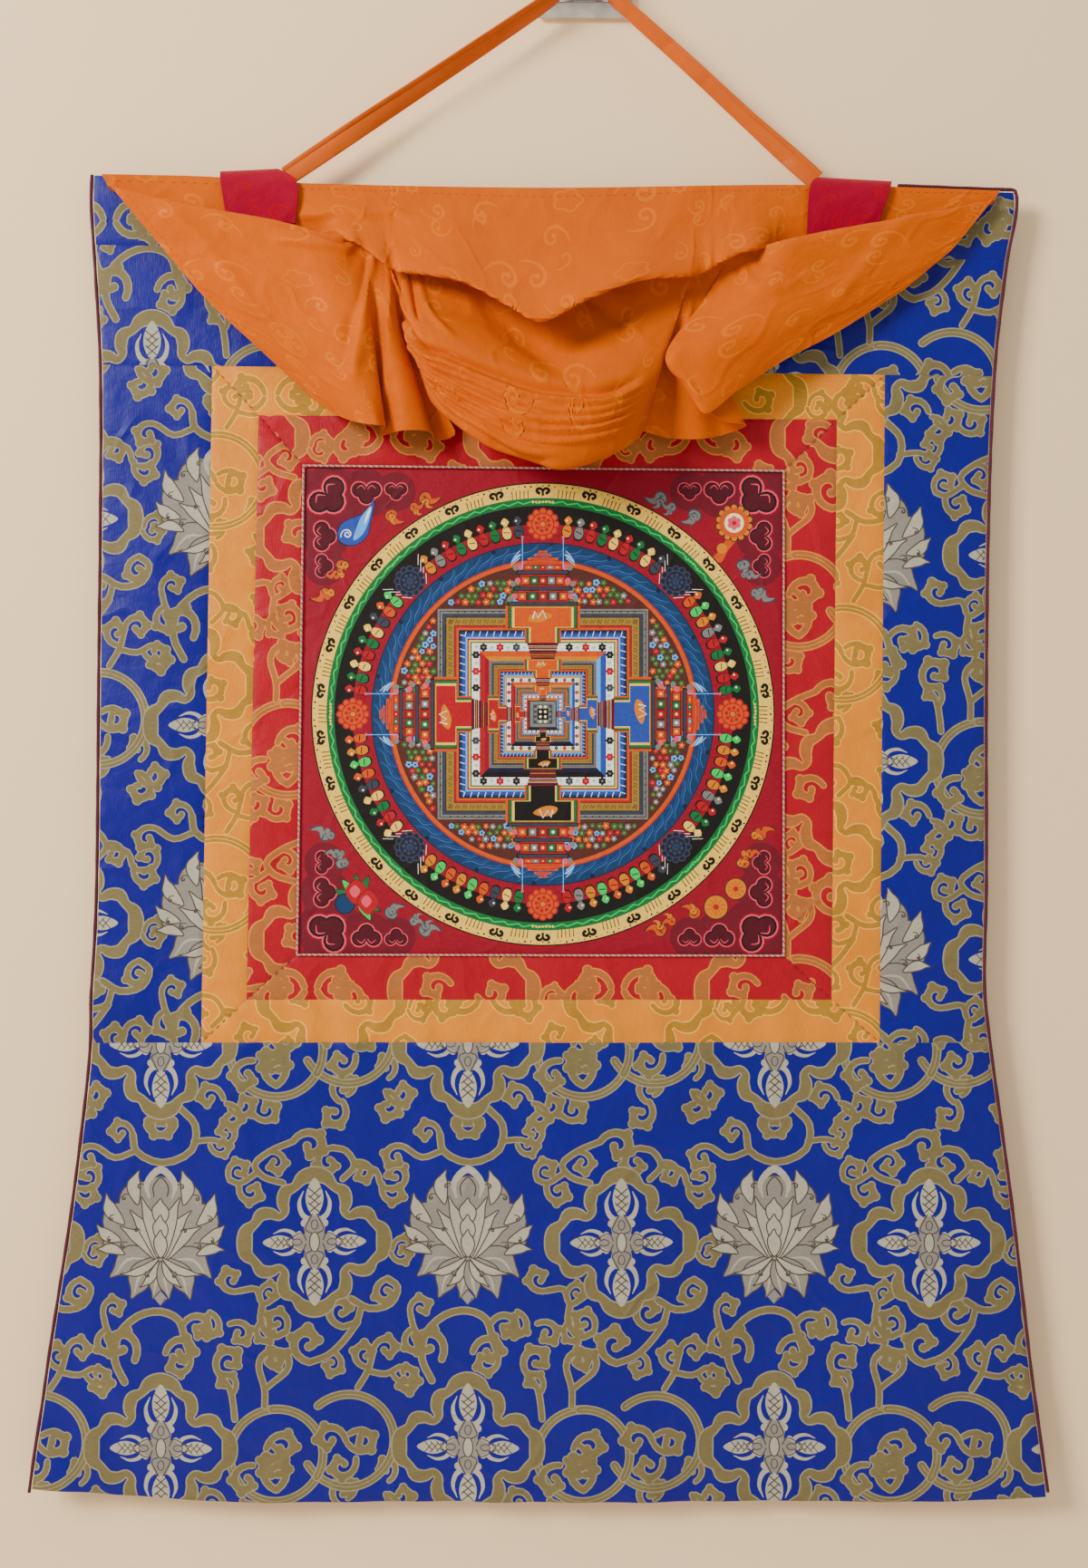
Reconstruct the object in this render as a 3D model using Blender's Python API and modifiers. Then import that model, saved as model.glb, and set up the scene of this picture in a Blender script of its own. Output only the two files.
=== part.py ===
"""A thangka: a painting framed in brocade, with a gathered silk veil, on its wall hook.

+X is to the right as seen, +Z is up and the viewer looks along +Y. The wall is the plane y = 0, and
the origin is the middle of the hook plate's back face. "Out" is a distance from the wall. Sizes and
places in the tables are in millimetres and are turned into metres where they are used.
"""

import math
from collections import namedtuple

import bmesh
import bpy
from mathutils import Vector

MM = 0.001

# Cloth and where it hangs.
CLOTH = 1.2 * MM
CANVAS = 1.0 * MM
SCROLL_OUT = 12.0 * MM
VEIL_OUT = 15.5 * MM
HALF_SEAM = 0.25 * MM

# Wall hook.
PLATE_WIDTH = 60.0 * MM
PLATE_HEIGHT = 50.0 * MM
PLATE_DEPTH = 5.0 * MM
PLATE_SLOPE = 8.0 * MM
TONGUE_WIDTH = 14.0 * MM
TONGUE_THICK = 2.4 * MM
TONGUE_TOP = -11.7 * MM
TONGUE_REACH = 24.0 * MM
TONGUE_RISE = 14.0 * MM
TONGUE_BEND = 5.0 * MM

# Ribbon, binding and edge cord.
RIBBON_WIDTH = 12.0 * MM
RIBBON_THICK = 1.0 * MM
BINDING_RADIUS = 1.1 * MM
EDGE_CORD_RADIUS = 0.7 * MM
GAP = 0.3 * MM

# The scroll's two sides, from the top down.
Edge = namedtuple("Edge", "height left right")
EDGES = (
    Edge(-125.4, -297.4, 257.6),
    Edge(-143.0, -297.9, 260.9),
    Edge(-178.8, -295.7, 254.8),
    Edge(-240.4, -292.4, 247.7),
    Edge(-327.2, -292.2, 243.8),
    Edge(-437.3, -293.3, 242.2),
    Edge(-558.2, -294.6, 242.2),
    Edge(-618.8, -297.1, 241.1),
    Edge(-651.8, -297.9, 244.4),
    Edge(-750.8, -309.5, 257.6),
    Edge(-844.3, -323.8, 268.6),
    Edge(-926.2, -334.8, 279.0),
)

# Heights of the top edge and of the bottom hem, and of the three seams right across.
Across = namedtuple("Across", "place height")
TOP_EDGE = (
    Across(-300, -125.6),
    Across(-221, -127.6),
    Across(-174, -131.2),
    Across(-25, -134.2),
    Across(136, -132.4),
    Across(262, -136.2),
)
BOTTOM_HEM = (
    Across(-335, -921.3),
    Across(-240, -929.0),
    Across(-169, -931.0),
    Across(-25, -930.6),
    Across(207, -930.0),
    Across(280, -926.2),
)
BAND_SEAM = (Across(-296, -167.8), Across(255, -177.1))
UPPER_SEAM = (Across(-292, -240.4), Across(248, -247.6))
LOWER_SEAM = (Across(-298, -651.8), Across(245, -651.8))

# Corners of the nested frames: top left, top right, bottom left, bottom right.
Corners = namedtuple("Corners", "top_left top_right bottom_left bottom_right")
GOLD_OUTER = Corners((-225.9, -241.3), (182.2, -246.7), (-232.5, -651.8), (178.9, -651.8))
RED_OUTER = Corners((-197.8, -271.2), (153.1, -273.9), (-205.0, -625.9), (149.8, -625.9))
PAINTING = Corners((-170.3, -302.0), (120.6, -305.2), (-174.2, -598.4), (120.6, -599.0))

# Soft swells of the hanging cloth: middle, half spread and how far out.
Swell = namedtuple("Swell", "across height wide tall rise")
SWELLS = (
    Swell(-290, -632, 26, 24, 3.5),
    Swell(-215, -800, 46, 150, 3.0),
    Swell(-110, -850, 42, 130, -2.6),
    Swell(0, -800, 52, 160, 2.8),
    Swell(110, -850, 40, 130, -2.4),
    Swell(215, -800, 46, 150, 3.2),
    Swell(-262, -430, 28, 120, 1.8),
    Swell(214, -470, 26, 140, 1.6),
    Swell(-330, -925, 36, 40, 4.0),
    Swell(278, -925, 34, 40, 3.4),
)

# The ribbon from tab to tab over the hook: its middle line and its turn about that line, in degrees.
Ribbon = namedtuple("Ribbon", "across height out turn")
RIBBON = (
    Ribbon(-180.5, -126.8, 13.6, 2),
    Ribbon(-134.6, -95.7, 13.2, 28),
    Ribbon(-101.6, -73.7, 12.8, 44),
    Ribbon(-63.1, -47.9, 12.6, 52),
    Ribbon(-27.3, -23.7, 12.6, 62),
    Ribbon(-14.0, -14.4, 12.6, 78),
    Ribbon(-7.5, -10.7, 12.6, 90),
    Ribbon(0.0, -10.2, 12.6, 90),
    Ribbon(7.5, -10.7, 12.6, 90),
    Ribbon(13.5, -14.4, 12.6, 80),
    Ribbon(22.7, -22.4, 12.6, 66),
    Ribbon(63.4, -58.9, 12.6, 60),
    Ribbon(101.9, -94.6, 12.6, 52),
    Ribbon(140.0, -129.0, 13.6, 4),
)

# The crimson tabs, folded over the top edge: each row is one line across the tab.
TabLine = namedtuple("TabLine", "left left_height right right_height out")
LEFT_TAB = (
    TabLine(-216.5, -151.5, -174.4, -157.0, 18.2),
    TabLine(-219.9, -128.4, -173.7, -131.8, 18.2),
    TabLine(-220.2, -124.2, -187.0, -122.4, 12.8),
    TabLine(-219.9, -128.4, -173.7, -131.8, 7.4),
    TabLine(-217.0, -146.0, -174.4, -150.0, 7.4),
)
RIGHT_TAB = (
    TabLine(133.8, -163.5, 177.0, -157.0, 18.2),
    TabLine(136.8, -132.0, 184.5, -134.6, 18.2),
    TabLine(144.0, -128.0, 186.0, -130.2, 12.8),
    TabLine(136.8, -132.0, 184.5, -134.6, 7.4),
    TabLine(134.5, -152.0, 178.0, -152.0, 7.4),
)

# The veil, one row for each section from its left side hem to its right one. The cloth runs from
# the seam down to a fold, over a face and down to the hem. A tuck above 0 is a pocket behind the
# fold, and one below 0 is cloth that goes up behind a flap. Turn is how far the hem turns up.
Section = namedtuple(
    "Section",
    "seam fold fold_height fold_out tuck face face_height face_out hem hem_height hem_out turn",
)
VEIL = (
    Section(-292, -287, -134, 18.5, 1.5, -227, -204, 22, -165, -262, 22, 0),
    Section(-263, -253, -144, 22, 8, -205, -210, 26, -153, -271, 25, 0),
    Section(-230, -219, -151, 24, 11, -185, -215, 29, -141, -278, 31, 0),
    Section(-198, -184, -158, 26, 10, -164, -218, 32, -130, -282, 38, 0),
    Section(-170, -156, -166, 28, 3, -143, -220, 36, -123, -283, 39, 0),
    Section(-154, -138, -172, 30, -4, -129, -219, 36, -119, -282, 32, 0),
    Section(-143, -130, -177, 31, -5, -126, -218, 29, -123, -285, 20, 0),
    Section(-133, -122, -184, 34, -5, -116, -222, 37, -107, -285, 34, 0),
    Section(-128, -118, -187, 34, -5, -111, -223, 33, -92, -285, 29, 0),
    Section(-124, -116, -189, 33, -5, -111, -224, 26, -90, -288, 19, 0),
    Section(-120, -114, -189, 32, -5, -107, -227, 24, -78, -286, 20, 2),
    Section(-114, -110, -192, 36, -7, -105, -223, 38, -92, -267, 35, 6),
    Section(-106, -99, -194, 41, -11, -98, -229, 46, -84, -277, 43, 14),
    Section(-79, -72, -201, 47, -16, -67, -249, 53, -60, -296, 50, 18),
    Section(-49, -45, -217, 54, -21, -34, -267, 58, -34, -308, 54, 22),
    Section(-25, -27, -227, 58, -24, -10, -274, 60, -13, -312, 55, 22),
    Section(2, 1, -213, 54, -23, 9, -272, 58, 5, -307, 53, 22),
    Section(30, 31, -200, 47, -16, 24, -267, 53, 23, -298, 48, 18),
    Section(51, 54, -196, 41, -10, 35, -263, 46, 30, -292, 42, 12),
    Section(61, 64, -194, 37, -7, 41, -259, 39, 32, -289, 34, 6),
    Section(68, 68, -192, 34, -6, 44, -254, 27, 38, -285, 21, 2),
    Section(72, 71, -191, 33, -5, 51, -251, 25, 49, -287, 22, 0),
    Section(76, 74, -189, 33, -5, 64, -249, 29, 68, -289, 28, 0),
    Section(79, 77, -187, 32, -5, 75, -245, 26, 84, -285, 22, 0),
    Section(84, 80, -185, 33, -5, 79, -244, 30, 96, -281, 29, 0),
    Section(89, 83, -184, 34, -4, 63, -244, 34, 81, -280, 36, 0),
    Section(96, 89, -181, 34, -4, 47, -244, 38, 65, -270, 40, 0),
    Section(108, 101, -177, 33, -3, 69, -238, 42, 70, -277, 42, 0),
    Section(128, 121, -170, 29, 3, 102, -227, 39, 89, -263, 37, 0),
    Section(159, 151, -163, 26, 10, 136, -214, 33, 116, -244, 31, 0),
    Section(200, 194, -155, 24, 10, 174, -198, 27, 150, -225, 26, 0),
    Section(251, 246, -143, 18.5, 1.5, 221, -173, 21, 193, -197, 22, 0),
)
POCKET_OUT = 15.8
BEHIND_FLAP_OUT = 24.0
FULL_TUCK = 4.0
FULL_TURN = 6.0


def clear_scene():
    """Remove whatever the scene holds."""
    for thing in list(bpy.data.objects):
        bpy.data.objects.remove(thing)


def make_collection(name):
    """A new collection in the scene."""
    collection = bpy.data.collections.new(name)
    bpy.context.scene.collection.children.link(collection)
    return collection


def make_material(name, colour, roughness, metallic=0.0):
    """A plain Principled material."""
    material = bpy.data.materials.new(name)
    material.use_nodes = True
    shader = material.node_tree.nodes["Principled BSDF"]
    shader.inputs["Base Color"].default_value = (*colour, 1.0)
    shader.inputs["Roughness"].default_value = roughness
    shader.inputs["Metallic"].default_value = metallic
    material.diffuse_color = (*colour, 1.0)
    return material


def mix(start, end, share):
    """The value a share of the way from start to end."""
    return start + (end - start) * share


def ease(share):
    """A soft step from 0 to 1."""
    share = min(max(share, 0.0), 1.0)
    return share * share * (3.0 - 2.0 * share)


def bend(points, place):
    """The point at place, from 0 to the last index, on a smooth curve through the points."""
    span = min(max(int(place), 0), len(points) - 2)
    share = place - span
    start, end = points[span], points[span + 1]
    before = points[span - 1] if span > 0 else start * 2.0 - end
    after = points[span + 2] if span + 2 < len(points) else end * 2.0 - start
    first = max((start - before).length, 1e-6) ** 0.5
    second = max((end - start).length, 1e-6) ** 0.5
    third = max((after - end).length, 1e-6) ** 0.5
    leave = (start - before) / first - (end - before) / (first + second) + (end - start) / second
    arrive = (end - start) / second - (after - start) / (second + third) + (after - end) / third
    leave *= second
    arrive *= second
    cube, square = share**3, share**2
    return (
        start * (2 * cube - 3 * square + 1)
        + leave * (cube - 2 * square + share)
        + end * (3 * square - 2 * cube)
        + arrive * (cube - square)
    )


def read(table, key, value, at):
    """The value of one column of a table where another column reads at, on a smooth curve."""
    keys = [getattr(row, key) for row in table]
    values = [getattr(row, value) for row in table]
    rising = keys[-1] > keys[0]
    span = 0
    while span < len(keys) - 2 and (at > keys[span + 1]) == rising:
        span += 1
    width = keys[span + 1] - keys[span]
    share = min(max((at - keys[span]) / width, 0.0), 1.0)

    def slope(index):
        low, high = max(index - 1, 0), min(index + 1, len(keys) - 1)
        return (values[high] - values[low]) / (keys[high] - keys[low]) * width

    cube, square = share**3, share**2
    return (
        values[span] * (2 * cube - 3 * square + 1)
        + slope(span) * (cube - 2 * square + share)
        + values[span + 1] * (3 * square - 2 * cube)
        + slope(span + 1) * (cube - square)
    )


def level(table, across):
    """The height of a top edge, hem or seam at a place across."""
    return read(table, "place", "height", across)


def hang(across, height):
    """How far out the scroll hangs at a place on it, in metres."""
    out = SCROLL_OUT
    for swell in SWELLS:
        far = ((across - swell.across) / swell.wide) ** 2 + ((height - swell.height) / swell.tall) ** 2
        out += swell.rise * MM * math.exp(-far)
    return out


def place_on_scroll(across, height, lift=0.0):
    """A point on the hanging scroll, lifted towards the viewer."""
    return Vector((across * MM, -hang(across, height) - lift, height * MM))


def add_sheet(name, collection, material, point, columns, rows, thickness):
    """A sheet of cloth: a grid laid on point(u, v), then thickened evenly to both sides."""
    mesh = bpy.data.meshes.new(name)
    shape = bmesh.new()
    bmesh.ops.create_grid(shape, x_segments=columns, y_segments=rows, size=0.5)
    for vertex in shape.verts:
        vertex.co = point(vertex.co.x + 0.5, 0.5 - vertex.co.y)
    bmesh.ops.recalc_face_normals(shape, faces=shape.faces)
    shape.to_mesh(mesh)
    shape.free()
    mesh.shade_smooth()
    mesh.materials.append(material)
    thing = bpy.data.objects.new(name, mesh)
    collection.objects.link(thing)
    solid = thing.modifiers.new("Thickness", "SOLIDIFY")
    solid.thickness = thickness
    solid.offset = 0.0
    return thing


def add_tube(name, collection, material, points, radius, closed=False):
    """A round cord through the points."""
    curve = bpy.data.curves.new(name, "CURVE")
    curve.dimensions = "3D"
    curve.bevel_depth = radius
    curve.bevel_resolution = 2
    curve.use_fill_caps = not closed
    spline = curve.splines.new("POLY")
    spline.points.add(len(points) - 1)
    for knot, point in zip(spline.points, points):
        knot.co = (*point, 1.0)
    spline.use_cyclic_u = closed
    curve.materials.append(material)
    thing = bpy.data.objects.new(name, curve)
    collection.objects.link(thing)
    return thing


def trimmed(share, length):
    """The share along a side once half a seam's gap is taken off each end."""
    inset = HALF_SEAM / (length * MM)
    return mix(inset, 1.0 - inset, share)


def panel_point(u, v, left, right, top, bottom):
    """A point of a panel between two side lines and two cross lines."""
    middle = 0.5 * (left(-500.0) + right(-500.0))
    height = mix(top(middle), bottom(middle), v)
    for _ in range(4):
        wide = right(height) - left(height)
        across = mix(left(height), right(height), trimmed(u, wide))
        tall = top(across) - bottom(across)
        height = mix(top(across), bottom(across), trimmed(v, tall))
    return place_on_scroll(across, height)


def side_line(side):
    """The scroll's outer line on one side."""
    return lambda height: read(EDGES, "height", side, height)


def cross_line(table):
    """A line right across the scroll."""
    return lambda across: level(table, across)


def frame_line(high, low):
    """The straight line between two corners, as a place across for each height."""
    return lambda height: mix(high[0], low[0], (height - high[1]) / (low[1] - high[1]))


def add_blue_panels(collection, material):
    """The five panels of blue brocade."""
    left, right = side_line("left"), side_line("right")
    gold_left = frame_line(GOLD_OUTER.top_left, GOLD_OUTER.bottom_left)
    gold_right = frame_line(GOLD_OUTER.top_right, GOLD_OUTER.bottom_right)
    Panel = namedtuple("Panel", "name left right top bottom columns rows")
    panels = (
        Panel("top_band", left, right, TOP_EDGE, BAND_SEAM, 16, 2),
        Panel("upper_panel", left, right, BAND_SEAM, UPPER_SEAM, 16, 3),
        Panel("left_panel", left, gold_left, UPPER_SEAM, LOWER_SEAM, 3, 16),
        Panel("right_panel", gold_right, right, UPPER_SEAM, LOWER_SEAM, 3, 16),
        Panel("lower_panel", left, right, LOWER_SEAM, BOTTOM_HEM, 16, 8),
    )
    for panel in panels:
        lines = (panel.left, panel.right, cross_line(panel.top), cross_line(panel.bottom))
        add_sheet(
            panel.name,
            collection,
            material,
            lambda u, v, lines=lines: panel_point(u, v, *lines),
            panel.columns,
            panel.rows,
            CLOTH,
        )


def add_quad(name, collection, material, corners, columns, rows, thickness):
    """A flat cut piece between four corners, hung on the scroll."""
    top_left, top_right, bottom_left, bottom_right = (Vector(corner) for corner in corners)
    wide = (top_right - top_left + bottom_right - bottom_left).length / 2
    tall = (bottom_left - top_left + bottom_right - top_right).length / 2

    def point(u, v):
        u, v = trimmed(u, wide), trimmed(v, tall)
        spot = top_left.lerp(top_right, u).lerp(bottom_left.lerp(bottom_right, u), v)
        return place_on_scroll(spot.x, spot.y)

    add_sheet(name, collection, material, point, columns, rows, thickness)


def add_frame(name, collection, material, outer, inner):
    """Four mitred strips between two sets of corners."""
    long, short = 12, 2
    sides = {
        "top": (outer.top_left, outer.top_right, inner.top_left, inner.top_right, long, short),
        "bottom": (inner.bottom_left, inner.bottom_right, outer.bottom_left, outer.bottom_right, long, short),
        "left": (outer.top_left, inner.top_left, outer.bottom_left, inner.bottom_left, short, long),
        "right": (inner.top_right, outer.top_right, inner.bottom_right, outer.bottom_right, short, long),
    }
    for side, (*corners, columns, rows) in sides.items():
        add_quad(f"{name}_{side}", collection, material, corners, columns, rows, CLOTH)


def add_edge_cord(collection, material):
    """The twisted cord laid on the seam round the painting."""
    lift = CLOTH / 2 + GAP + EDGE_CORD_RADIUS
    loop = (PAINTING.top_left, PAINTING.top_right, PAINTING.bottom_right, PAINTING.bottom_left)
    steps = 8
    points = []
    for start, end in zip(loop, loop[1:] + loop[:1]):
        for step in range(steps):
            spot = Vector(start).lerp(Vector(end), step / steps)
            points.append(place_on_scroll(spot.x, spot.y, lift))
    add_tube("painting_edge_cord", collection, material, points, EDGE_CORD_RADIUS, closed=True)


def add_side_bindings(collection, material):
    """The maroon piping down each side, which turns along the top edge on the right."""
    beside = HALF_SEAM + GAP + BINDING_RADIUS
    steps = 24
    bottom = EDGES[-1].height + 3.0

    def side_points(side, sign, top):
        for step in range(steps + 1):
            height = mix(top, bottom, ease(step / steps))
            across = read(EDGES, "height", side, height)
            yield place_on_scroll(across, height) + Vector((sign * beside, 0.0, 0.0))

    left = list(side_points("left", -1.0, EDGES[0].height))
    add_tube("left_binding", collection, material, left, BINDING_RADIUS)
    first, last, top_steps = 190.0, 256.0, 5
    along_top = []
    for step in range(top_steps + 1):
        across = mix(first, last, step / top_steps)
        spot = place_on_scroll(across, level(TOP_EDGE, across))
        along_top.append(spot + Vector((0.0, 0.0, beside + GAP)))
    down = list(side_points("right", 1.0, level(TOP_EDGE, EDGES[0].right) - 1.0))
    corner = Vector((down[0].x - BINDING_RADIUS, down[0].y, along_top[-1].z - BINDING_RADIUS / 2))
    add_tube("right_binding", collection, material, along_top + [corner] + down, BINDING_RADIUS)


def veil_lines(section):
    """The points of one section of the veil, from its seam to its hem, in millimetres."""
    wing = ease((section.tuck + FULL_TUCK) / (2 * FULL_TUCK))
    pocket, behind = max(section.tuck, 0.0), max(-section.tuck, 0.0)
    seam_out = VEIL_OUT / MM
    seam = Vector((section.seam, seam_out, level(TOP_EDGE, section.seam) - 0.4))
    rim = Vector((section.fold, mix(section.fold_out, POCKET_OUT, wing), section.fold_height - pocket))
    ridge = Vector((section.fold, mix(BEHIND_FLAP_OUT, section.fold_out, wing), section.fold_height + behind))
    fall = seam.lerp(rim, 0.5)
    fall.y = mix(seam.y, rim.y, mix(0.4, 0.1, wing))
    face = Vector((section.face, section.face_out, section.face_height))
    hollow = ridge.lerp(face, 0.45)
    hollow.y = mix(ridge.y, face.y, mix(0.25, 0.5, wing))
    hem = Vector((section.hem, section.hem_out, section.hem_height))
    low = face.lerp(hem, mix(0.55, 1.0, min(section.turn / FULL_TURN, 1.0)))
    end = hem + Vector((0.0, -section.turn, section.turn))
    return seam, fall, rim, ridge, hollow, face, low, end


def add_veil(collection, material):
    """The silk veil, hung from the top seam and gathered up at its middle."""
    lines = list(zip(*(veil_lines(section) for section in VEIL)))
    last_section, last_line = len(VEIL) - 1, len(lines) - 1

    def point(u, v):
        strand = [bend(line, u * last_section) for line in lines]
        spot = bend(strand, v * last_line)
        return Vector((spot.x, -spot.y, spot.z)) * MM

    add_sheet("veil", collection, material, point, 46, 21, CLOTH)


def add_tab(name, collection, material, rows):
    """A crimson tab folded over the top edge."""
    left = [Vector((row.left, row.out, row.left_height)) for row in rows]
    right = [Vector((row.right, row.out, row.right_height)) for row in rows]

    def point(u, v):
        place = v * (len(rows) - 1)
        spot = bend(left, place).lerp(bend(right, place), u)
        return Vector((spot.x, -spot.y, spot.z)) * MM

    add_sheet(name, collection, material, point, 4, 14, CLOTH)


def add_ribbon(collection, material):
    """The flat ribbon that hangs on the hook, turned about its own length."""
    middle = [Vector((row.across, -row.out, row.height)) for row in RIBBON]
    last = len(RIBBON) - 1
    outward = Vector((0.0, -1.0, 0.0))

    def turn_at(place):
        span = min(int(place), last - 1)
        return math.radians(mix(RIBBON[span].turn, RIBBON[span + 1].turn, ease(place - span)))

    def point(u, v):
        place = v * last
        ahead = (bend(middle, min(place + 0.05, last)) - bend(middle, max(place - 0.05, 0.0))).normalized()
        flat = outward.cross(ahead).normalized()
        turn = turn_at(place)
        across = flat * math.cos(turn) + outward * math.sin(turn)
        return bend(middle, place) * MM + across * (u - 0.5) * RIBBON_WIDTH

    add_sheet("hanging_ribbon", collection, material, point, 2, 42, RIBBON_THICK)


def add_hook_plate(collection, material):
    """The square wall plate with sloping borders."""
    mesh = bpy.data.meshes.new("hook_plate")
    shape = bmesh.new()
    bmesh.ops.create_cube(shape, size=1.0)
    for vertex in shape.verts:
        front = vertex.co.y < 0.0
        narrow = 2 * PLATE_SLOPE if front else 0.0
        vertex.co.x *= PLATE_WIDTH - narrow
        vertex.co.z *= PLATE_HEIGHT - narrow
        vertex.co.y = -PLATE_DEPTH if front else 0.0
    shape.to_mesh(mesh)
    shape.free()
    mesh.materials.append(material)
    thing = bpy.data.objects.new("hook_plate", mesh)
    collection.objects.link(thing)


def add_hook_tongue(collection, material):
    """The bent tongue that the ribbon lies on, its side outline extruded to its width."""
    root = PLATE_DEPTH + GAP
    top, low = TONGUE_TOP, TONGUE_TOP - TONGUE_THICK
    bend_middle = (TONGUE_REACH - TONGUE_BEND, low + TONGUE_BEND)
    outline = [(root, low)]
    steps = 6
    for step in range(steps + 1):
        angle = math.radians(-90.0 + 90.0 * step / steps)
        outline.append((
            bend_middle[0] + TONGUE_BEND * math.cos(angle),
            bend_middle[1] + TONGUE_BEND * math.sin(angle),
        ))
    outline.append((TONGUE_REACH, top + TONGUE_RISE))
    outline.append((TONGUE_REACH - TONGUE_THICK, top + TONGUE_RISE))
    inner = TONGUE_BEND - TONGUE_THICK
    for step in range(steps + 1):
        angle = math.radians(-90.0 * step / steps)
        outline.append((
            bend_middle[0] + inner * math.cos(angle),
            bend_middle[1] + inner * math.sin(angle),
        ))
    outline.append((root, top))
    curve = bpy.data.curves.new("hook_tongue", "CURVE")
    curve.dimensions = "2D"
    curve.fill_mode = "BOTH"
    curve.extrude = TONGUE_WIDTH / 2
    spline = curve.splines.new("POLY")
    spline.points.add(len(outline) - 1)
    for knot, (out, height) in zip(spline.points, outline):
        knot.co = (-out, height, 0.0, 1.0)
    spline.use_cyclic_u = True
    curve.materials.append(material)
    thing = bpy.data.objects.new("hook_tongue", curve)
    thing.rotation_euler = (math.radians(90.0), 0.0, math.radians(90.0))
    collection.objects.link(thing)


def main():
    """Build the scroll on its hook."""
    clear_scene()
    collection = make_collection("thangka_scroll")
    steel = make_material("brushed_steel", (0.62, 0.61, 0.58), 0.28, 1.0)
    blue = make_material("blue_brocade", (0.012, 0.030, 0.36), 0.50)
    amber = make_material("amber_brocade", (0.76, 0.33, 0.055), 0.50)
    red = make_material("red_brocade", (0.56, 0.007, 0.016), 0.48)
    canvas = make_material("painted_canvas", (0.38, 0.022, 0.034), 0.72)
    silk = make_material("orange_silk", (0.88, 0.24, 0.008), 0.42)
    ribbon = make_material("orange_ribbon", (0.86, 0.23, 0.006), 0.50)
    crimson = make_material("crimson_cloth", (0.44, 0.008, 0.032), 0.50)
    maroon = make_material("maroon_piping", (0.20, 0.010, 0.036), 0.60)
    cream = make_material("cream_cord", (0.78, 0.58, 0.52), 0.65)
    add_hook_plate(collection, steel)
    add_hook_tongue(collection, steel)
    add_ribbon(collection, ribbon)
    add_tab("left_tab", collection, crimson, LEFT_TAB)
    add_tab("right_tab", collection, crimson, RIGHT_TAB)
    add_veil(collection, silk)
    add_blue_panels(collection, blue)
    add_frame("gold_strip", collection, amber, GOLD_OUTER, RED_OUTER)
    add_frame("red_strip", collection, red, RED_OUTER, PAINTING)
    add_quad("painting", collection, canvas, PAINTING, 8, 8, CANVAS)
    add_edge_cord(collection, cream)
    add_side_bindings(collection, maroon)


main()
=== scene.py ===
"""A thangka: a painted mandala framed in brocade, with a gathered silk veil, on its wall hook.

+X is to the right as seen, +Z is up and the viewer looks along +Y. The wall is the plane y = 0 and
the origin is the middle of the hook plate's back face. "Out" is a distance from the wall. Tables and
flat drawings are in millimetres, and everything in the scene is in metres.
"""

import math
import random
from collections import namedtuple

import bpy
import numpy as np
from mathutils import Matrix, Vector
from mathutils.geometry import delaunay_2d_cdt


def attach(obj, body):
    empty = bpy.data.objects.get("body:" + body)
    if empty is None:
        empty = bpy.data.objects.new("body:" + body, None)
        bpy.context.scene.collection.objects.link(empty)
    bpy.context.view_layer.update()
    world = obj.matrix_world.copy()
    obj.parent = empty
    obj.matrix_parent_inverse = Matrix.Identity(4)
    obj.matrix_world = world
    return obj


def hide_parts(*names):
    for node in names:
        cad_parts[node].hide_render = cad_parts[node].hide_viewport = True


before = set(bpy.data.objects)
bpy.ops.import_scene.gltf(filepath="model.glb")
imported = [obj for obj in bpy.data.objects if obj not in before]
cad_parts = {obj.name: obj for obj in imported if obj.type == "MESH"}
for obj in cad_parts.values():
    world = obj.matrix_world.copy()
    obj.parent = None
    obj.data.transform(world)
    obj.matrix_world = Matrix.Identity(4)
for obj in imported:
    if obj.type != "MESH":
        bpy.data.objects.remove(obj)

bl_info = {
    "name": "Thangka Scroll",
    "version": (1, 0, 0),
    "blender": (4, 5, 0),
    "location": "3D View > Sidebar > Thangka",
    "description": "Builds a brocade-framed thangka with its veil, ribbon and wall hook",
    "category": "Add Mesh",
}

MM = 0.001

# Cloth and where it hangs, as in the frame.
SCROLL_OUT = 12.0
VEIL_OUT = 15.5
HALF_SEAM = 0.03
POCKET_OUT = 15.8
BEHIND_FLAP_OUT = 24.0
FULL_TUCK = 4.0
FULL_TURN = 6.0

# The scroll's two sides, from the top down.
Edge = namedtuple("Edge", "height left right")
EDGES = tuple(Edge(*row) for row in (
    (-125.4, -297.4, 257.6), (-143.0, -297.9, 260.9), (-178.8, -295.7, 254.8), (-240.4, -292.4, 247.7),
    (-327.2, -292.2, 243.8), (-437.3, -293.3, 242.2), (-558.2, -294.6, 242.2), (-618.8, -297.1, 241.1),
    (-651.8, -297.9, 244.4), (-750.8, -309.5, 257.6), (-844.3, -323.8, 268.6), (-926.2, -334.8, 279.0),
))

# Heights of the top edge and of the bottom hem, and of the three seams right across.
Across = namedtuple("Across", "place height")
TOP_EDGE = tuple(Across(*row) for row in (
    (-300, -125.6), (-221, -127.6), (-174, -131.2), (-25, -134.2), (136, -132.4), (262, -136.2),
))
BOTTOM_HEM = tuple(Across(*row) for row in (
    (-335, -921.3), (-240, -929.0), (-169, -931.0), (-25, -930.6), (207, -930.0), (280, -926.2),
))
BAND_SEAM = (Across(-296, -167.8), Across(255, -177.1))
UPPER_SEAM = (Across(-292, -240.4), Across(248, -247.6))
LOWER_SEAM = (Across(-298, -651.8), Across(245, -651.8))

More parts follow.
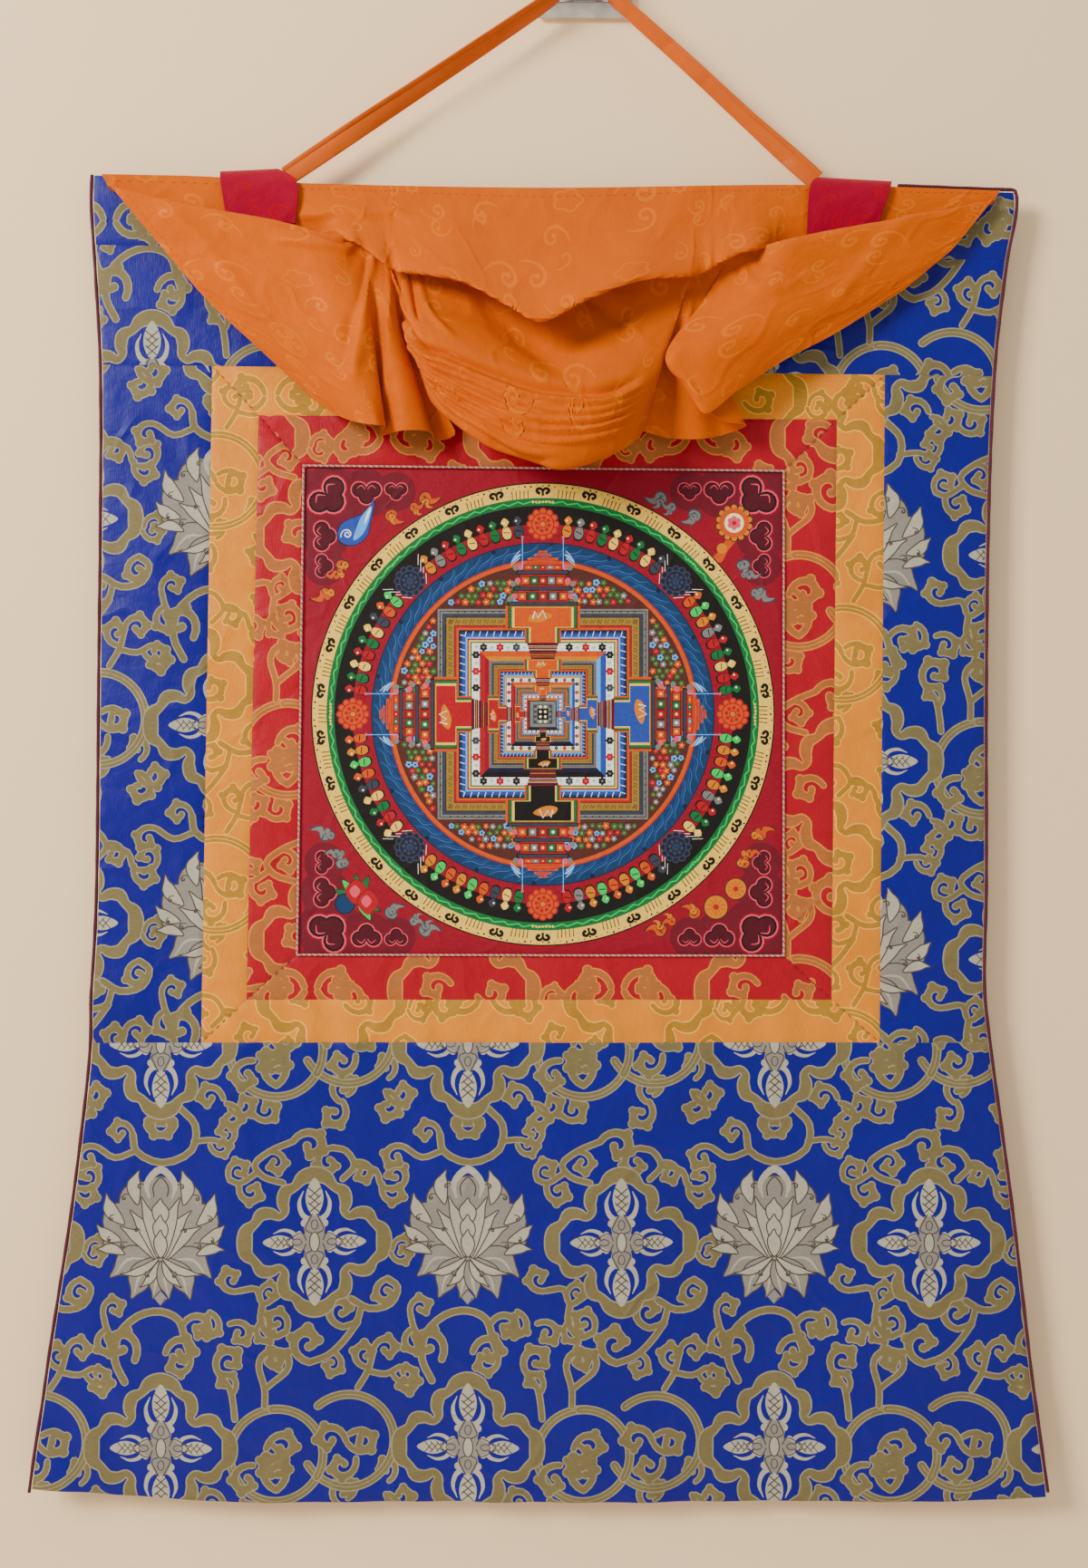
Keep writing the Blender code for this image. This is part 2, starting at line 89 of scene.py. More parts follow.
# Corners of the nested frames: top left, top right, bottom left, bottom right.
Corners = namedtuple("Corners", "top_left top_right bottom_left bottom_right")
GOLD_OUTER = Corners((-225.9, -241.3), (182.2, -246.7), (-232.5, -651.8), (178.9, -651.8))
RED_OUTER = Corners((-197.8, -271.2), (153.1, -273.9), (-205.0, -625.9), (149.8, -625.9))
PAINTING = Corners((-170.3, -302.0), (120.6, -305.2), (-174.2, -598.4), (120.6, -599.0))

# Soft swells of the hanging cloth: middle, half spread and how far out.
Swell = namedtuple("Swell", "across height wide tall rise")
SWELLS = tuple(Swell(*row) for row in (
    (-290, -632, 26, 24, 3.5), (-215, -800, 46, 150, 3.0), (-110, -850, 42, 130, -2.6),
    (0, -800, 52, 160, 2.8), (110, -850, 40, 130, -2.4), (215, -800, 46, 150, 3.2),
    (-262, -430, 28, 120, 1.8), (214, -470, 26, 140, 1.6), (-330, -925, 36, 40, 4.0),
    (278, -925, 34, 40, 3.4),
))

# The ribbon from tab to tab over the hook: its middle line and its turn about that line, in degrees.
Ribbon = namedtuple("Ribbon", "across height out turn")
RIBBON = tuple(Ribbon(*row) for row in (
    (-180.5, -126.8, 13.6, 2), (-134.6, -95.7, 13.2, 28), (-101.6, -73.7, 12.8, 44),
    (-63.1, -47.9, 12.6, 52), (-27.3, -23.7, 12.6, 62), (-14.0, -14.4, 12.6, 78), (-7.5, -10.7, 12.6, 90),
    (0.0, -10.2, 12.6, 90), (7.5, -10.7, 12.6, 90), (13.5, -14.4, 12.6, 80), (22.7, -22.4, 12.6, 66),
    (63.4, -58.9, 12.6, 60), (101.9, -94.6, 12.6, 52), (140.0, -129.0, 13.6, 4),
))

# The crimson tabs, folded over the top edge: each row is one line across the tab.
TabLine = namedtuple("TabLine", "left left_height right right_height out")
LEFT_TAB = tuple(TabLine(*row) for row in (
    (-216.5, -151.5, -174.4, -157.0, 18.2), (-219.9, -128.4, -173.7, -131.8, 18.2),
    (-220.2, -124.2, -187.0, -122.4, 12.8), (-219.9, -128.4, -173.7, -131.8, 7.4),
    (-217.0, -146.0, -174.4, -150.0, 7.4),
))
RIGHT_TAB = tuple(TabLine(*row) for row in (
    (133.8, -163.5, 177.0, -157.0, 18.2), (136.8, -132.0, 184.5, -134.6, 18.2),
    (144.0, -128.0, 186.0, -130.2, 12.8), (136.8, -132.0, 184.5, -134.6, 7.4),
    (134.5, -152.0, 178.0, -152.0, 7.4),
))

# The veil, one row for each section from its left side hem to its right one. The cloth runs from
# the seam down to a fold, over a face and down to the hem. A tuck above 0 is a pocket behind the
# fold, and one below 0 is cloth that goes up behind a flap. Turn is how far the hem turns up.
Section = namedtuple(
    "Section",
    "seam fold fold_height fold_out tuck face face_height face_out hem hem_height hem_out turn",
)
VEIL = tuple(Section(*row) for row in (
    (-292, -287, -134, 18.5, 1.5, -227, -204, 22, -165, -262, 22, 0),
    (-263, -253, -144, 22, 8, -205, -210, 26, -153, -271, 25, 0),
    (-230, -219, -151, 24, 11, -185, -215, 29, -141, -278, 31, 0),
    (-198, -184, -158, 26, 10, -164, -218, 32, -130, -282, 38, 0),
    (-170, -156, -166, 28, 3, -143, -220, 36, -123, -283, 39, 0),
    (-154, -138, -172, 30, -4, -129, -219, 36, -119, -282, 32, 0),
    (-143, -130, -177, 31, -5, -126, -218, 29, -123, -285, 20, 0),
    (-133, -122, -184, 34, -5, -116, -222, 37, -107, -285, 34, 0),
    (-128, -118, -187, 34, -5, -111, -223, 33, -92, -285, 29, 0),
    (-124, -116, -189, 33, -5, -111, -224, 26, -90, -288, 19, 0),
    (-120, -114, -189, 32, -5, -107, -227, 24, -78, -286, 20, 2),
    (-114, -110, -192, 36, -7, -105, -223, 38, -92, -267, 35, 6),
    (-106, -99, -194, 41, -11, -98, -229, 46, -84, -277, 43, 14),
    (-79, -72, -201, 47, -16, -67, -249, 53, -60, -296, 50, 18),
    (-49, -45, -217, 54, -21, -34, -267, 58, -34, -308, 54, 22),
    (-25, -27, -227, 58, -24, -10, -274, 60, -13, -312, 55, 22),
    (2, 1, -213, 54, -23, 9, -272, 58, 5, -307, 53, 22),
    (30, 31, -200, 47, -16, 24, -267, 53, 23, -298, 48, 18),
    (51, 54, -196, 41, -10, 35, -263, 46, 30, -292, 42, 12),
    (61, 64, -194, 37, -7, 41, -259, 39, 32, -289, 34, 6),
    (68, 68, -192, 34, -6, 44, -254, 27, 38, -285, 21, 2),
    (72, 71, -191, 33, -5, 51, -251, 25, 49, -287, 22, 0),
    (76, 74, -189, 33, -5, 64, -249, 29, 68, -289, 28, 0),
    (79, 77, -187, 32, -5, 75, -245, 26, 84, -285, 22, 0),
    (84, 80, -185, 33, -5, 79, -244, 30, 96, -281, 29, 0),
    (89, 83, -184, 34, -4, 63, -244, 34, 81, -280, 36, 0),
    (96, 89, -181, 34, -4, 47, -244, 38, 65, -270, 40, 0),
    (108, 101, -177, 33, -3, 69, -238, 42, 70, -277, 42, 0),
    (128, 121, -170, 29, 3, 102, -227, 39, 89, -263, 37, 0),
    (159, 151, -163, 26, 10, 136, -214, 33, 116, -244, 31, 0),
    (200, 194, -155, 24, 10, 174, -198, 27, 150, -225, 26, 0),
    (251, 246, -143, 18.5, 1.5, 221, -173, 21, 193, -197, 22, 0),
))

# Threads of the brocades, as numbered on the cloth's faces.
GROUND, SCROLL, OUTLINE, SILVER, SILVER_LINE, SILVER_LIGHT = range(6)


# ---------------------------------------------------------------- curves and forms


def ease(share):
    """A soft step from 0 to 1."""
    share = np.clip(share, 0.0, 1.0)
    return share * share * (3.0 - 2.0 * share)


def mix(start, end, share):
    """The value a share of the way from start to end."""
    return start + (end - start) * share


def run_through(knots, places):
    """The points at places, counted in knots, on a smooth curve through each line of knots."""
    knots = np.asarray(knots, float)
    places = np.atleast_1d(np.asarray(places, float))
    ahead = np.concatenate([[2 * knots[0] - knots[1]], knots, [2 * knots[-1] - knots[-2]]])
    span = np.clip(np.floor(places).astype(int), 0, len(knots) - 2)
    share = (places - span).reshape(-1, *[1] * (knots.ndim - 1))
    before, start, end, after = (ahead[span + step] for step in range(4))

    def root_length(first, last):
        return np.maximum(np.linalg.norm(last - first, axis=-1, keepdims=True), 1e-6) ** 0.5

    one, two, three = root_length(before, start), root_length(start, end), root_length(end, after)
    leave = (start - before) / one - (end - before) / (one + two) + (end - start) / two
    arrive = (end - start) / two - (after - start) / (two + three) + (after - end) / three
    cube, square = share**3, share**2
    return (
        start * (2 * cube - 3 * square + 1)
        + leave * two * (cube - 2 * square + share)
        + end * (3 * square - 2 * cube)
        + arrive * two * (cube - square)
    )


def smooth(points, steps=6, closed=False):
    """A smooth line through a few points."""
    points = np.asarray(points, float)
    if closed:
        wrapped = np.concatenate([points[-2:], points, points[:3]])
        places = np.arange(2 * steps, (len(points) + 2) * steps) / steps
        return run_through(wrapped, places)
    return run_through(points, np.linspace(0, len(points) - 1, (len(points) - 1) * steps + 1))


def read(table, key, value, at):
    """One column of a table where another column reads at, on a smooth curve."""
    keys = np.array([getattr(row, key) for row in table], float)
    values = np.array([getattr(row, value) for row in table], float)
    if keys[0] > keys[-1]:
        keys, values = keys[::-1], values[::-1]
    slopes = np.empty(len(keys))
    slopes[1:-1] = (values[2:] - values[:-2]) / (keys[2:] - keys[:-2])
    slopes[0] = (values[1] - values[0]) / (keys[1] - keys[0])
    slopes[-1] = (values[-1] - values[-2]) / (keys[-1] - keys[-2])
    at = np.asarray(at, float)
    span = np.clip(np.searchsorted(keys, at) - 1, 0, len(keys) - 2)
    width = keys[span + 1] - keys[span]
    share = np.clip((at - keys[span]) / width, 0.0, 1.0)
    cube, square = share**3, share**2
    return (
        values[span] * (2 * cube - 3 * square + 1)
        + slopes[span] * width * (cube - 2 * square + share)
        + values[span + 1] * (3 * square - 2 * cube)
        + slopes[span + 1] * width * (cube - square)
    )


def level(table, across):
    """The height of a top edge, hem or seam at a place across."""
    return read(table, "place", "height", across)


def hang(across, height):
    """How far out the scroll hangs at a place on it."""
    out = np.full(np.shape(across), SCROLL_OUT)
    for swell in SWELLS:
        far = ((across - swell.across) / swell.wide) ** 2 + ((height - swell.height) / swell.tall) ** 2
        out = out + swell.rise * np.exp(-far)
    return out


# Puckers where a seam draws the cloth in: middle of the stretch, its half width and height, how far
# apart the ripples are, how deep, and how much they lean.
Pucker = namedtuple("Pucker", "across height wide tall pitch deep lean")
PUCKERS = tuple(Pucker(*row) for row in (
    (-150, -640, 75, 22, 23, 0.75, 0.16), (-20, -645, 70, 16, 31, 0.45, -0.08),
    (95, -640, 70, 20, 26, 0.6, 0.10), (-90, -676, 150, 26, 37, 0.55, 0.12),
    (120, -672, 110, 24, 42, 0.5, -0.10), (-218, -430, 14, 160, 64, 0.4, 2.4),
    (166, -450, 14, 170, 58, 0.4, -2.2), (-262, -300, 26, 60, 36, 0.6, 0.9),
    (214, -330, 24, 80, 40, 0.6, -0.8), (-300, -880, 36, 60, 34, 0.8, 0.5),
    (245, -890, 36, 60, 38, 0.7, -0.4), (-30, -925, 220, 16, 46, 0.8, 0.0),
))


def ripple(across, height):
    """Small uneven ripples of the hanging scroll."""
    out = np.zeros(np.shape(across))
    for number, pucker in enumerate(PUCKERS):
        right, up = across - pucker.across, height - pucker.height
        far = (right / pucker.wide) ** 2 + (up / pucker.tall) ** 2
        place = (right + pucker.lean * up) / pucker.pitch
        wave = np.sin(math.tau * place + number) + 0.5 * np.sin(math.tau * 0.61 * place + 2.0 * number)
        out = out + pucker.deep * np.exp(-far) * wave
    return out


def on_scroll(flat, lift=0.0):
    """Points on the hanging scroll, lifted towards the viewer, in millimetres."""
    across, height = flat[:, 0], flat[:, 1]
    out = hang(across, height) + ripple(across, height) + lift
    return np.stack([across, -out, height], axis=1)


# ---------------------------------------------------------------- flat drawing


def counter_clockwise(points):
    """The same outline, turning left."""
    after = np.roll(points, -1, axis=0)
    area = np.sum(points[:, 0] * after[:, 1] - after[:, 0] * points[:, 1])
    return points if area > 0 else points[::-1]


def moved(shapes, across, height, turn=0.0, size=1.0, flip=False):
    """The shapes, turned by degrees, grown and put in place."""
    angle = math.radians(turn)
    spin = size * np.array([[math.cos(angle), math.sin(angle)], [-math.sin(angle), math.cos(angle)]])
    sign = np.array([-1.0 if flip else 1.0, 1.0])
    place = np.array([across, height])
    return [((points * sign) @ spin + place, thread) for points, thread in shapes]


def disc(across, height, radius, sides=10, squash=1.0):
    """A round spot."""
    angle = np.linspace(0, math.tau, sides, endpoint=False)
    return np.stack([across + radius * np.cos(angle), height + squash * radius * np.sin(angle)], axis=1)


def drawn(pieces, thread):
    """The outlines, each with the thread or paint it is made in."""
    return [(piece, thread) for piece in pieces]


def stroke(points, widths, chunk=5):
    """A line of changing width, as a run of short outlines that share their ends."""
    points = np.asarray(points, float)
    ahead = np.gradient(points, axis=0)
    ahead /= np.maximum(np.linalg.norm(ahead, axis=1, keepdims=True), 1e-9)
    beside = np.stack([-ahead[:, 1], ahead[:, 0]], axis=1)
    places = np.linspace(0, 1, len(points))
    half = np.interp(places, np.linspace(0, 1, len(widths)), widths)[:, None] / 2
    left, right = points + beside * half, points - beside * half
    for start in range(0, len(points) - 1, chunk):
        stop = min(start + chunk, len(points) - 1) + 1
        yield np.concatenate([left[start:stop], right[start:stop][::-1]])


def edge_line(points, width):
    """A line of even width round a closed outline."""
    closed = np.concatenate([points, points[:2]])
    return stroke(closed, (width,))


def spiral(start, heading, length, winding, steps=16, hurry=1.8):
    """A stem that winds up: it starts at a point with a heading and turns by winding, in degrees."""
    share = np.linspace(0, 1, steps)
    angle = np.radians(heading + winding * share**hurry)
    step = length / steps * (1.25 - 0.75 * share)
    moves = np.stack([np.cos(angle), np.sin(angle)], axis=1) * step[:, None]
    moves[0] = 0.0
    return np.cumsum(moves, axis=0) + np.asarray(start, float)


def outlined(lines, spots, fill=SCROLL, rim=OUTLINE, edge=0.75):
    """Lines and spots that merge into one figure with a rim round it."""
    shapes = []
    for grow, thread in ((2 * edge, rim), (0.0, fill)):
        for points, widths in lines:
            wide = [width + grow for width in widths]
            shapes.extend(drawn(stroke(points, wide), thread))
            for end, width in ((points[0], wide[0]), (points[-1], wide[-1])):
                if width > 1.2:
                    shapes.append((disc(*end, width / 2, 8), thread))
        shapes.extend((disc(*spot, radius + grow / 2, 9), thread) for spot, radius in spots)
    return shapes


# ---------------------------------------------------------------- the brocade's figures

REPEAT_WIDE, REPEAT_TALL = 186.0, 245.0

# One quarter of the quatrefoil band, from its top lobe to its right one, with its width there.
Knot = namedtuple("Knot", "across height width")
QUATREFOIL = tuple(Knot(*row) for row in (
    (0.0, 41.0, 8.4), (7.0, 39.0, 7.2), (12.0, 33.5, 4.2), (17.5, 30.5, 6.4), (19.0, 24.0, 6.0),
    (18.0, 18.5, 3.8), (21.0, 15.5, 3.4), (26.0, 17.5, 5.4), (32.0, 17.0, 6.4), (36.0, 11.5, 4.2),
    (41.0, 7.0, 7.0), (42.0, 0.0, 8.2),
))

# Vines: the line each follows and its width.
Vine = namedtuple("Vine", "points width")
VINES = tuple(Vine(*row) for row in (
    (((-22, 40), (-28, 53), (-26, 68), (-14, 80), (0, 83), (11, 78), (15, 66), (18, 57)), 3.4),
    (((-27, 62), (-33, 72), (-35, 80)), 2.6),
    (((12, 206), (21, 196), (19, 181), (1, 173), (-15, 180), (-17, 190)), 3.2),
    (((20, 186), (32, 187), (40, 184)), 2.4), (((-16, 180), (-28, 176), (-38, 182)), 2.6),
    (((45, 18), (44, 28), (42, 37), (36, 45)), 2.8), (((63, 26), (63, 36), (60, 47)), 2.8),
    (((63, 36), (69, 41), (73, 44)), 2.6), (((119, 36), (125, 46), (128, 57)), 2.8),
    (((125, 46), (136, 44), (144, 48)), 2.6),
    (((74, 161), (62, 165), (57, 172), (66, 180), (80, 186)), 2.8),
    (((58, 167), (48, 161), (42, 163)), 2.6), (((110, 163), (117, 171), (112, 180), (104, 182)), 2.8),
    (((117, 171), (130, 168), (134, 158), (144, 157)), 2.8),
    (((71, 93), (62, 88), (58, 97), (48, 96)), 2.8), (((62, 88), (61, 76), (68, 68), (76, 71)), 3.2),
    (((115, 90), (126, 84), (139, 87), (143, 97), (137, 102)), 3.2),
    (((121, 85), (118, 76), (110, 73)), 2.8), (((119, 76), (110, 64), (101, 56), (90, 52)), 3.0),
))

# Cloud curls: where each stem starts, its heading, the curl's size and the side it winds to.
Curl = namedtuple("Curl", "across height heading size side")
CURLS = tuple(Curl(*row) for row in (
    (18, 57, -70, 11, -1), (-35, 80, 110, 10, -1), (-33, 72, 200, 11, 1), (-16, 53, 60, 15, 1),
    (3, 58, 80, 13, -1), (14, 76, 60, 12, -1), (30, 83, -20, 11, -1), (42, 76, 30, 11, -1),
    (40, 184, 20, 10, 1), (30, 184, -80, 9, 1), (-38, 182, 150, 11, 1), (-17, 190, 95, 10, 1),
    (-9, 196, -70, 12, 1), (9, 196, -110, 12, -1), (36, 45, 130, 13, -1), (43, 33, 40, 10, 1),
    (60, 47, 110, 12, -1), (73, 44, 30, 12, 1), (64, 0, 80, 13, -1), (66, 3, -20, 12, -1),
    (56, -10, 170, 13, 1), (70, -25, 160, 15, -1), (70, -25, 30, 15, 1), (112, 4, 100, 13, 1),
    (114, 8, 40, 12, -1), (113, 2, -60, 12, 1), (118, -7, -80, 12, -1), (128, 57, 90, 11, -1),
    (125, 48, 175, 11, -1), (144, 48, 10, 12, -1), (140, 44, -70, 10, 1), (80, 186, 60, 14, -1),
    (66, 180, 10, 10, -1), (42, 163, 120, 10, -1), (48, 161, -110, 11, 1), (104, 182, 180, 12, 1),
    (117, 173, 20, 10, -1), (144, 157, 30, 11, 1), (134, 160, -110, 11, 1), (48, 96, 200, 11, -1),
    (60, 92, 100, 9, -1), (76, 71, 60, 11, 1), (62, 78, -150, 10, 1), (137, 102, 190, 11, 1),
    (110, 73, 170, 13, -1), (90, 52, 170, 15, -1), (104, 58, -20, 10, -1), (38, 212, 100, 11, 1),
    (42, 206, -60, 11, 1), (40, 209, 0, 11, -1), (56, 203, -60, 11, 1), (108, 210, 150, 11, -1),
    (110, 210, -50, 12, -1), (113, 214, 20, 9, 1), (136, 216, -80, 12, 1), (138, 216, -20, 12, -1),
    (-48, 224, 30, 10, 1), (-46, 120, 90, 9, -1), (-47, 118, -80, 9, 1),
))

# The two rings that pass through each other beside the quatrefoil.
Ring = namedtuple("Ring", "across height radius first last")
RINGS = (Ring(70, -4, 28, 95, 330), Ring(113, 4, 28, -150, 130), Ring(70, -4, 28, -30, 95))


def quatrefoil():
    """The closed band of four scalloped lobes."""
    quarter = [(knot.across, knot.height, knot.width) for knot in QUATREFOIL]
    half = quarter + [(x, -y, w) for x, y, w in reversed(quarter[:-1])]
    whole = half + [(-x, y, w) for x, y, w in reversed(half[1:-1])]
    line = smooth(whole, 4, closed=True)
    line = np.concatenate([line, line[:1]])
    return line[:, :2], line[:, 2]


def cloud_curl(curl):
    """A cloud-headed curl: its winding stem and the lobes on its back."""
    size, side = curl.size, curl.side
    stem = spiral((curl.across, curl.height), curl.heading, 3.5 * size, side * 335, 15, 1.25)
    ahead = np.gradient(stem, axis=0)
    ahead /= np.linalg.norm(ahead, axis=1, keepdims=True)
    back = np.stack([ahead[:, 1], -ahead[:, 0]], axis=1) * side
    widths = np.array((0.22, 0.26, 0.32, 0.36, 0.30, 0.22)) * size
    lobes = [
        (stem[place] + back[place] * 0.15 * size, grow * size)
        for place, grow in ((5, 0.19), (8, 0.21), (11, 0.17))
    ]
    return (stem, widths), lobes + [(stem[-1], 0.15 * size)]


def silver_cross():
    """The silver cross of four buds between curling prongs."""
    shapes = []
    for turn, size in ((0, 1.0), (90, 0.8), (180, 1.0), (270, 0.8)):
        bud = ((0, 39), (4, 33), (5.4, 26), (3.4, 19), (0, 15), (-3.4, 19), (-5.4, 26), (-4, 33))
        bud = smooth(bud, 3, True)
        arm = [(bud, SILVER_LIGHT)]
        for side in (-1, 1):
            prong = smooth(((side * 3, 13), (side * 7.5, 17), (side * 9.2, 24), (side * 6.6, 31)), 4)
            arm.extend(drawn(stroke(prong, (3.6, 3.0, 2.2, 0.4)), SILVER_LIGHT))
            arm.append((disc(side * 6, 11.5, 2.4, 8), SILVER_LIGHT))
            for low in (20.5, 25.0, 29.5):
                line = ((side * 4, low + 3.5), (-side * 3, low - 2.5))
                arm.extend(drawn(stroke(line, (0.7,)), SILVER_LINE))
        neck = np.array(((-5, 2), (5, 2), (6.5, 9), (3, 16), (-3, 16), (-6.5, 9)), float)
        arm.append((neck[::-1], SILVER))
        shapes.extend(moved(arm, 0, 0, turn, size))
    for turn in range(0, 360, 90):
        arm = drawn(edge_line(disc(0, 10.5, 2.0, 8, 1.5), 0.6), SILVER_LINE)
        for side in (-1, 1):
            curve = smooth(((side * 1, 5), (side * 5.5, 7.5), (side * 3.4, 13), (side * 1.2, 17)), 3)
            arm.extend(drawn(stroke(curve, (0.7,)), SILVER_LINE))
        shapes.extend(moved(arm, 0, 0, turn))
    shapes.append((disc(0, 0, 3.0, 12, 2.0), SILVER_LIGHT))
    shapes.extend(drawn(edge_line(disc(0, 0, 3.0, 12, 2.0), 0.7), SILVER_LINE))
    return shapes


def lotus_petal(root, tip, wide, lean=0.0):
    """A pointed petal from root to tip, with its bright rib and its dark edge."""
    root, tip = np.array(root, float), np.array(tip, float)
    along = tip - root
    beside = np.array([-along[1], along[0]]) / np.linalg.norm(along)
    sway = lean * beside
    left = [root + along * place + sway * math.sin(math.pi * place) + beside * wide * half
            for place, half in ((0.15, 0.28), (0.42, 0.5), (0.66, 0.5), (0.84, 0.24))]
    right = [root + along * place + sway * math.sin(math.pi * place) - beside * wide * half
             for place, half in ((0.84, 0.14), (0.66, 0.42), (0.42, 0.5), (0.15, 0.3))]
    outline = smooth([root] + left + [tip] + right, 3, closed=True)
    rib = smooth([root + along * 0.2, root + along * 0.55 + sway, root + along * 0.88], 4)
    shapes = [(outline, SILVER)]
    shapes.extend(drawn(stroke(rib, (0.5, 1.8, 0.5)), SILVER_LIGHT))
    shapes.extend(drawn(edge_line(outline, 0.75), SILVER_LINE))
    return shapes


LOTUS_LOBES = ((0, 25, 12), (13, 22, 12), (24, 10, 11), (20, 0, 12), (29, -1, 6), (0, 0, 18), (14, -14, 9))
LOTUS_SKIRTS = (((2, -10), (31, -24), 15, 5), ((2, -12), (18, -37), 14, 3), ((0, -14), (5, -37), 9, 0))
LOTUS_FLAMES = (
    ((14, 20), (13, 41), 8, -3),
    ((22, 8), (33, 27), 8, -3),
    ((24, -2), (39, 8), 7, -2),
    ((22, -10), (39, -7), 6, 2),
)
LOTUS_LEAVES = (
    ((2, -14), (25, 7), 8, 3),
    ((2, -14), (19, 17), 8, 3),
    ((2, -12), (12, 25), 8, 2),
    ((1, -12), (25, -22), 5, -3),
    ((1, -14), (13, -30), 5, -2),
)
LOTUS_EYES = (
    (9, 31, 50, 8), (19, 26, 20, 8), (28, 14, 0, 7), (31, 1, -30, 5), (20, -3, 20, 8), (12, 4, 60, 6),
    (9, -20, -60, 6),
)


def lotus():
    """The silver lotus: ruffled petals, flame tips, skirts and a heart of bright leaves."""
    shapes = []
    for grow, thread in ((0.8, SILVER_LINE), (0.0, SILVER)):
        for across, height, radius in LOTUS_LOBES:
            for side in (-1, 1):
                shapes.append((disc(side * across, height, radius + grow, 20), thread))
    for side in (-1, 1):
        for group in (LOTUS_SKIRTS, LOTUS_FLAMES, LOTUS_LEAVES):
            for (root_x, root_y), (tip_x, tip_y), wide, lean in group:
                petal = lotus_petal((side * root_x, root_y), (side * tip_x, tip_y), wide, side * lean)
                bright = SILVER if group is LOTUS_SKIRTS else SILVER_LIGHT
                shapes.extend([(petal[0][0], bright)] + petal[1:])
        for across, height, heading, length in LOTUS_EYES:
            line = spiral((side * across, height), 90 - side * (90 - heading), 1.7 * length, side * -430, 13)
            shapes.extend(drawn(stroke(line, (0.5, 1.0, 0.7)), SILVER_LINE))
    hood = smooth([(-7, 24), (-8.5, 33), (0, 41.5), (8.5, 33), (7, 24)], 4)
    shapes.extend(drawn(stroke(hood, (1.0, 3.6, 4.6, 3.6, 1.0)), SILVER_LIGHT))
    seam = smooth([(-4, 25), (-4.6, 31), (0, 36.5), (4.6, 31), (4, 25)], 4)
    shapes.extend(drawn(stroke(seam, (0.8,)), SILVER_LINE))
    for tip, wide in ((24, 10), (14, 9), (5, 8)):
        petal = lotus_petal((0, tip - 17), (0, tip), wide)
        shapes.extend([(petal[0][0], SILVER_LIGHT)] + petal[1:])
    diamond = np.array(((0, -41), (4, -36.5), (0, -32), (-4, -36.5)), float)
    shapes.append((diamond, SILVER))
    shapes.extend(drawn(edge_line(diamond * (0.75, 0.97) - (0, 1.1), 0.7), SILVER_LINE))
    return shapes


# Curls that take the lotus's place in the scroll brocade.
FILLERS = tuple(Curl(*row) for row in (
    (-4, 127, 100, 14, 1), (4, 127, 80, 14, -1), (-4, 124, -110, 14, -1), (4, 124, -70, 14, 1),
    (-20, 128, 170, 12, 1), (20, 128, 10, 12, -1), (-8, 4, 120, 12, 1), (8, -4, -60, 12, 1),
    (85, 129, 120, 12, 1), (101, 121, -60, 12, 1),
))


def brocade_repeat(figured):
    """One repeat of the brocade, about its quatrefoil, with its silver figures or with curls for them."""
    shapes = []
    for ring in RINGS:
        angle = np.radians(np.linspace(ring.first, ring.last, 40))
        around = np.stack([np.cos(angle), np.sin(angle)], axis=1)
        line = np.array((ring.across, ring.height)) + ring.radius * around
        shapes.extend(outlined([(line, (4.0,))], []))
        shapes.extend(drawn(stroke(line, (0.5,)), OUTLINE))
    lines = [(smooth(vine.points, 3), (vine.width,)) for vine in VINES]
    spots = []
    for curl in CURLS if figured else CURLS + FILLERS:
        stem, bumps = cloud_curl(curl)
        lines.append(stem)
        spots.extend(bumps)
    shapes.extend(outlined(lines, spots))
    band = quatrefoil()
    for across, height in ((0, 0), (REPEAT_WIDE / 2, 125.0)):
        middle = silver_cross() if figured else []
        shapes.extend(moved(outlined([band], [], edge=0.9) + middle, across, height))
    if figured:
        shapes.extend(moved(lotus(), 0, 127.5))
    return shapes


def brocade_over(outline, across, height, figured=True):
    """The brocade's repeats over a piece, with a quatrefoil at the place given."""
    low, high = outline.min(axis=0), outline.max(axis=0)
    repeat = brocade_repeat(figured)
    shapes = []
    first_column = math.floor((low[0] - across) / REPEAT_WIDE) - 1
    last_column = math.ceil((high[0] - across) / REPEAT_WIDE) + 1
    first_row = math.floor((low[1] - height) / REPEAT_TALL) - 1
    last_row = math.ceil((high[1] - height) / REPEAT_TALL) + 1
    for row in range(first_row, last_row + 1):
        for column in range(first_column, last_column + 1):
            shapes.extend(moved(repeat, across + column * REPEAT_WIDE, height + row * REPEAT_TALL))
    return shapes


# ---------------------------------------------------------------- cutting and laying cloth

Cut = namedtuple("Cut", "spots triangles threads")
PROBE = 0.2
CLOTH_CREASE, ROUND_CREASE = math.radians(50), math.radians(60)


def drawn_lines(outline, shapes):
    """The drawing's corners, and each line in it with the thread on its left."""
    low, high = outline.min(axis=0), outline.max(axis=0)
    corners, faces, threads = [], [], []
    for points, thread in [(outline, GROUND)] + shapes:
        if (points.max(axis=0) < low).any() or (points.min(axis=0) > high).any():
            continue
        faces.append(list(range(len(corners), len(corners) + len(points))))
        corners.extend(Vector(point) for point in counter_clockwise(points))
        threads.append(thread)
    found = delaunay_2d_cdt(corners, [], faces, 1, 2e-3, True)
    beside = {}
    for (a, b, c), sources in zip(found[2], found[5]):
        if 0 in sources:
            beside[a, b] = beside[b, c] = beside[c, a] = threads[max(sources)]
    return found[0], {pair: thread for pair, thread in beside.items() if beside.get(pair[::-1]) != thread}


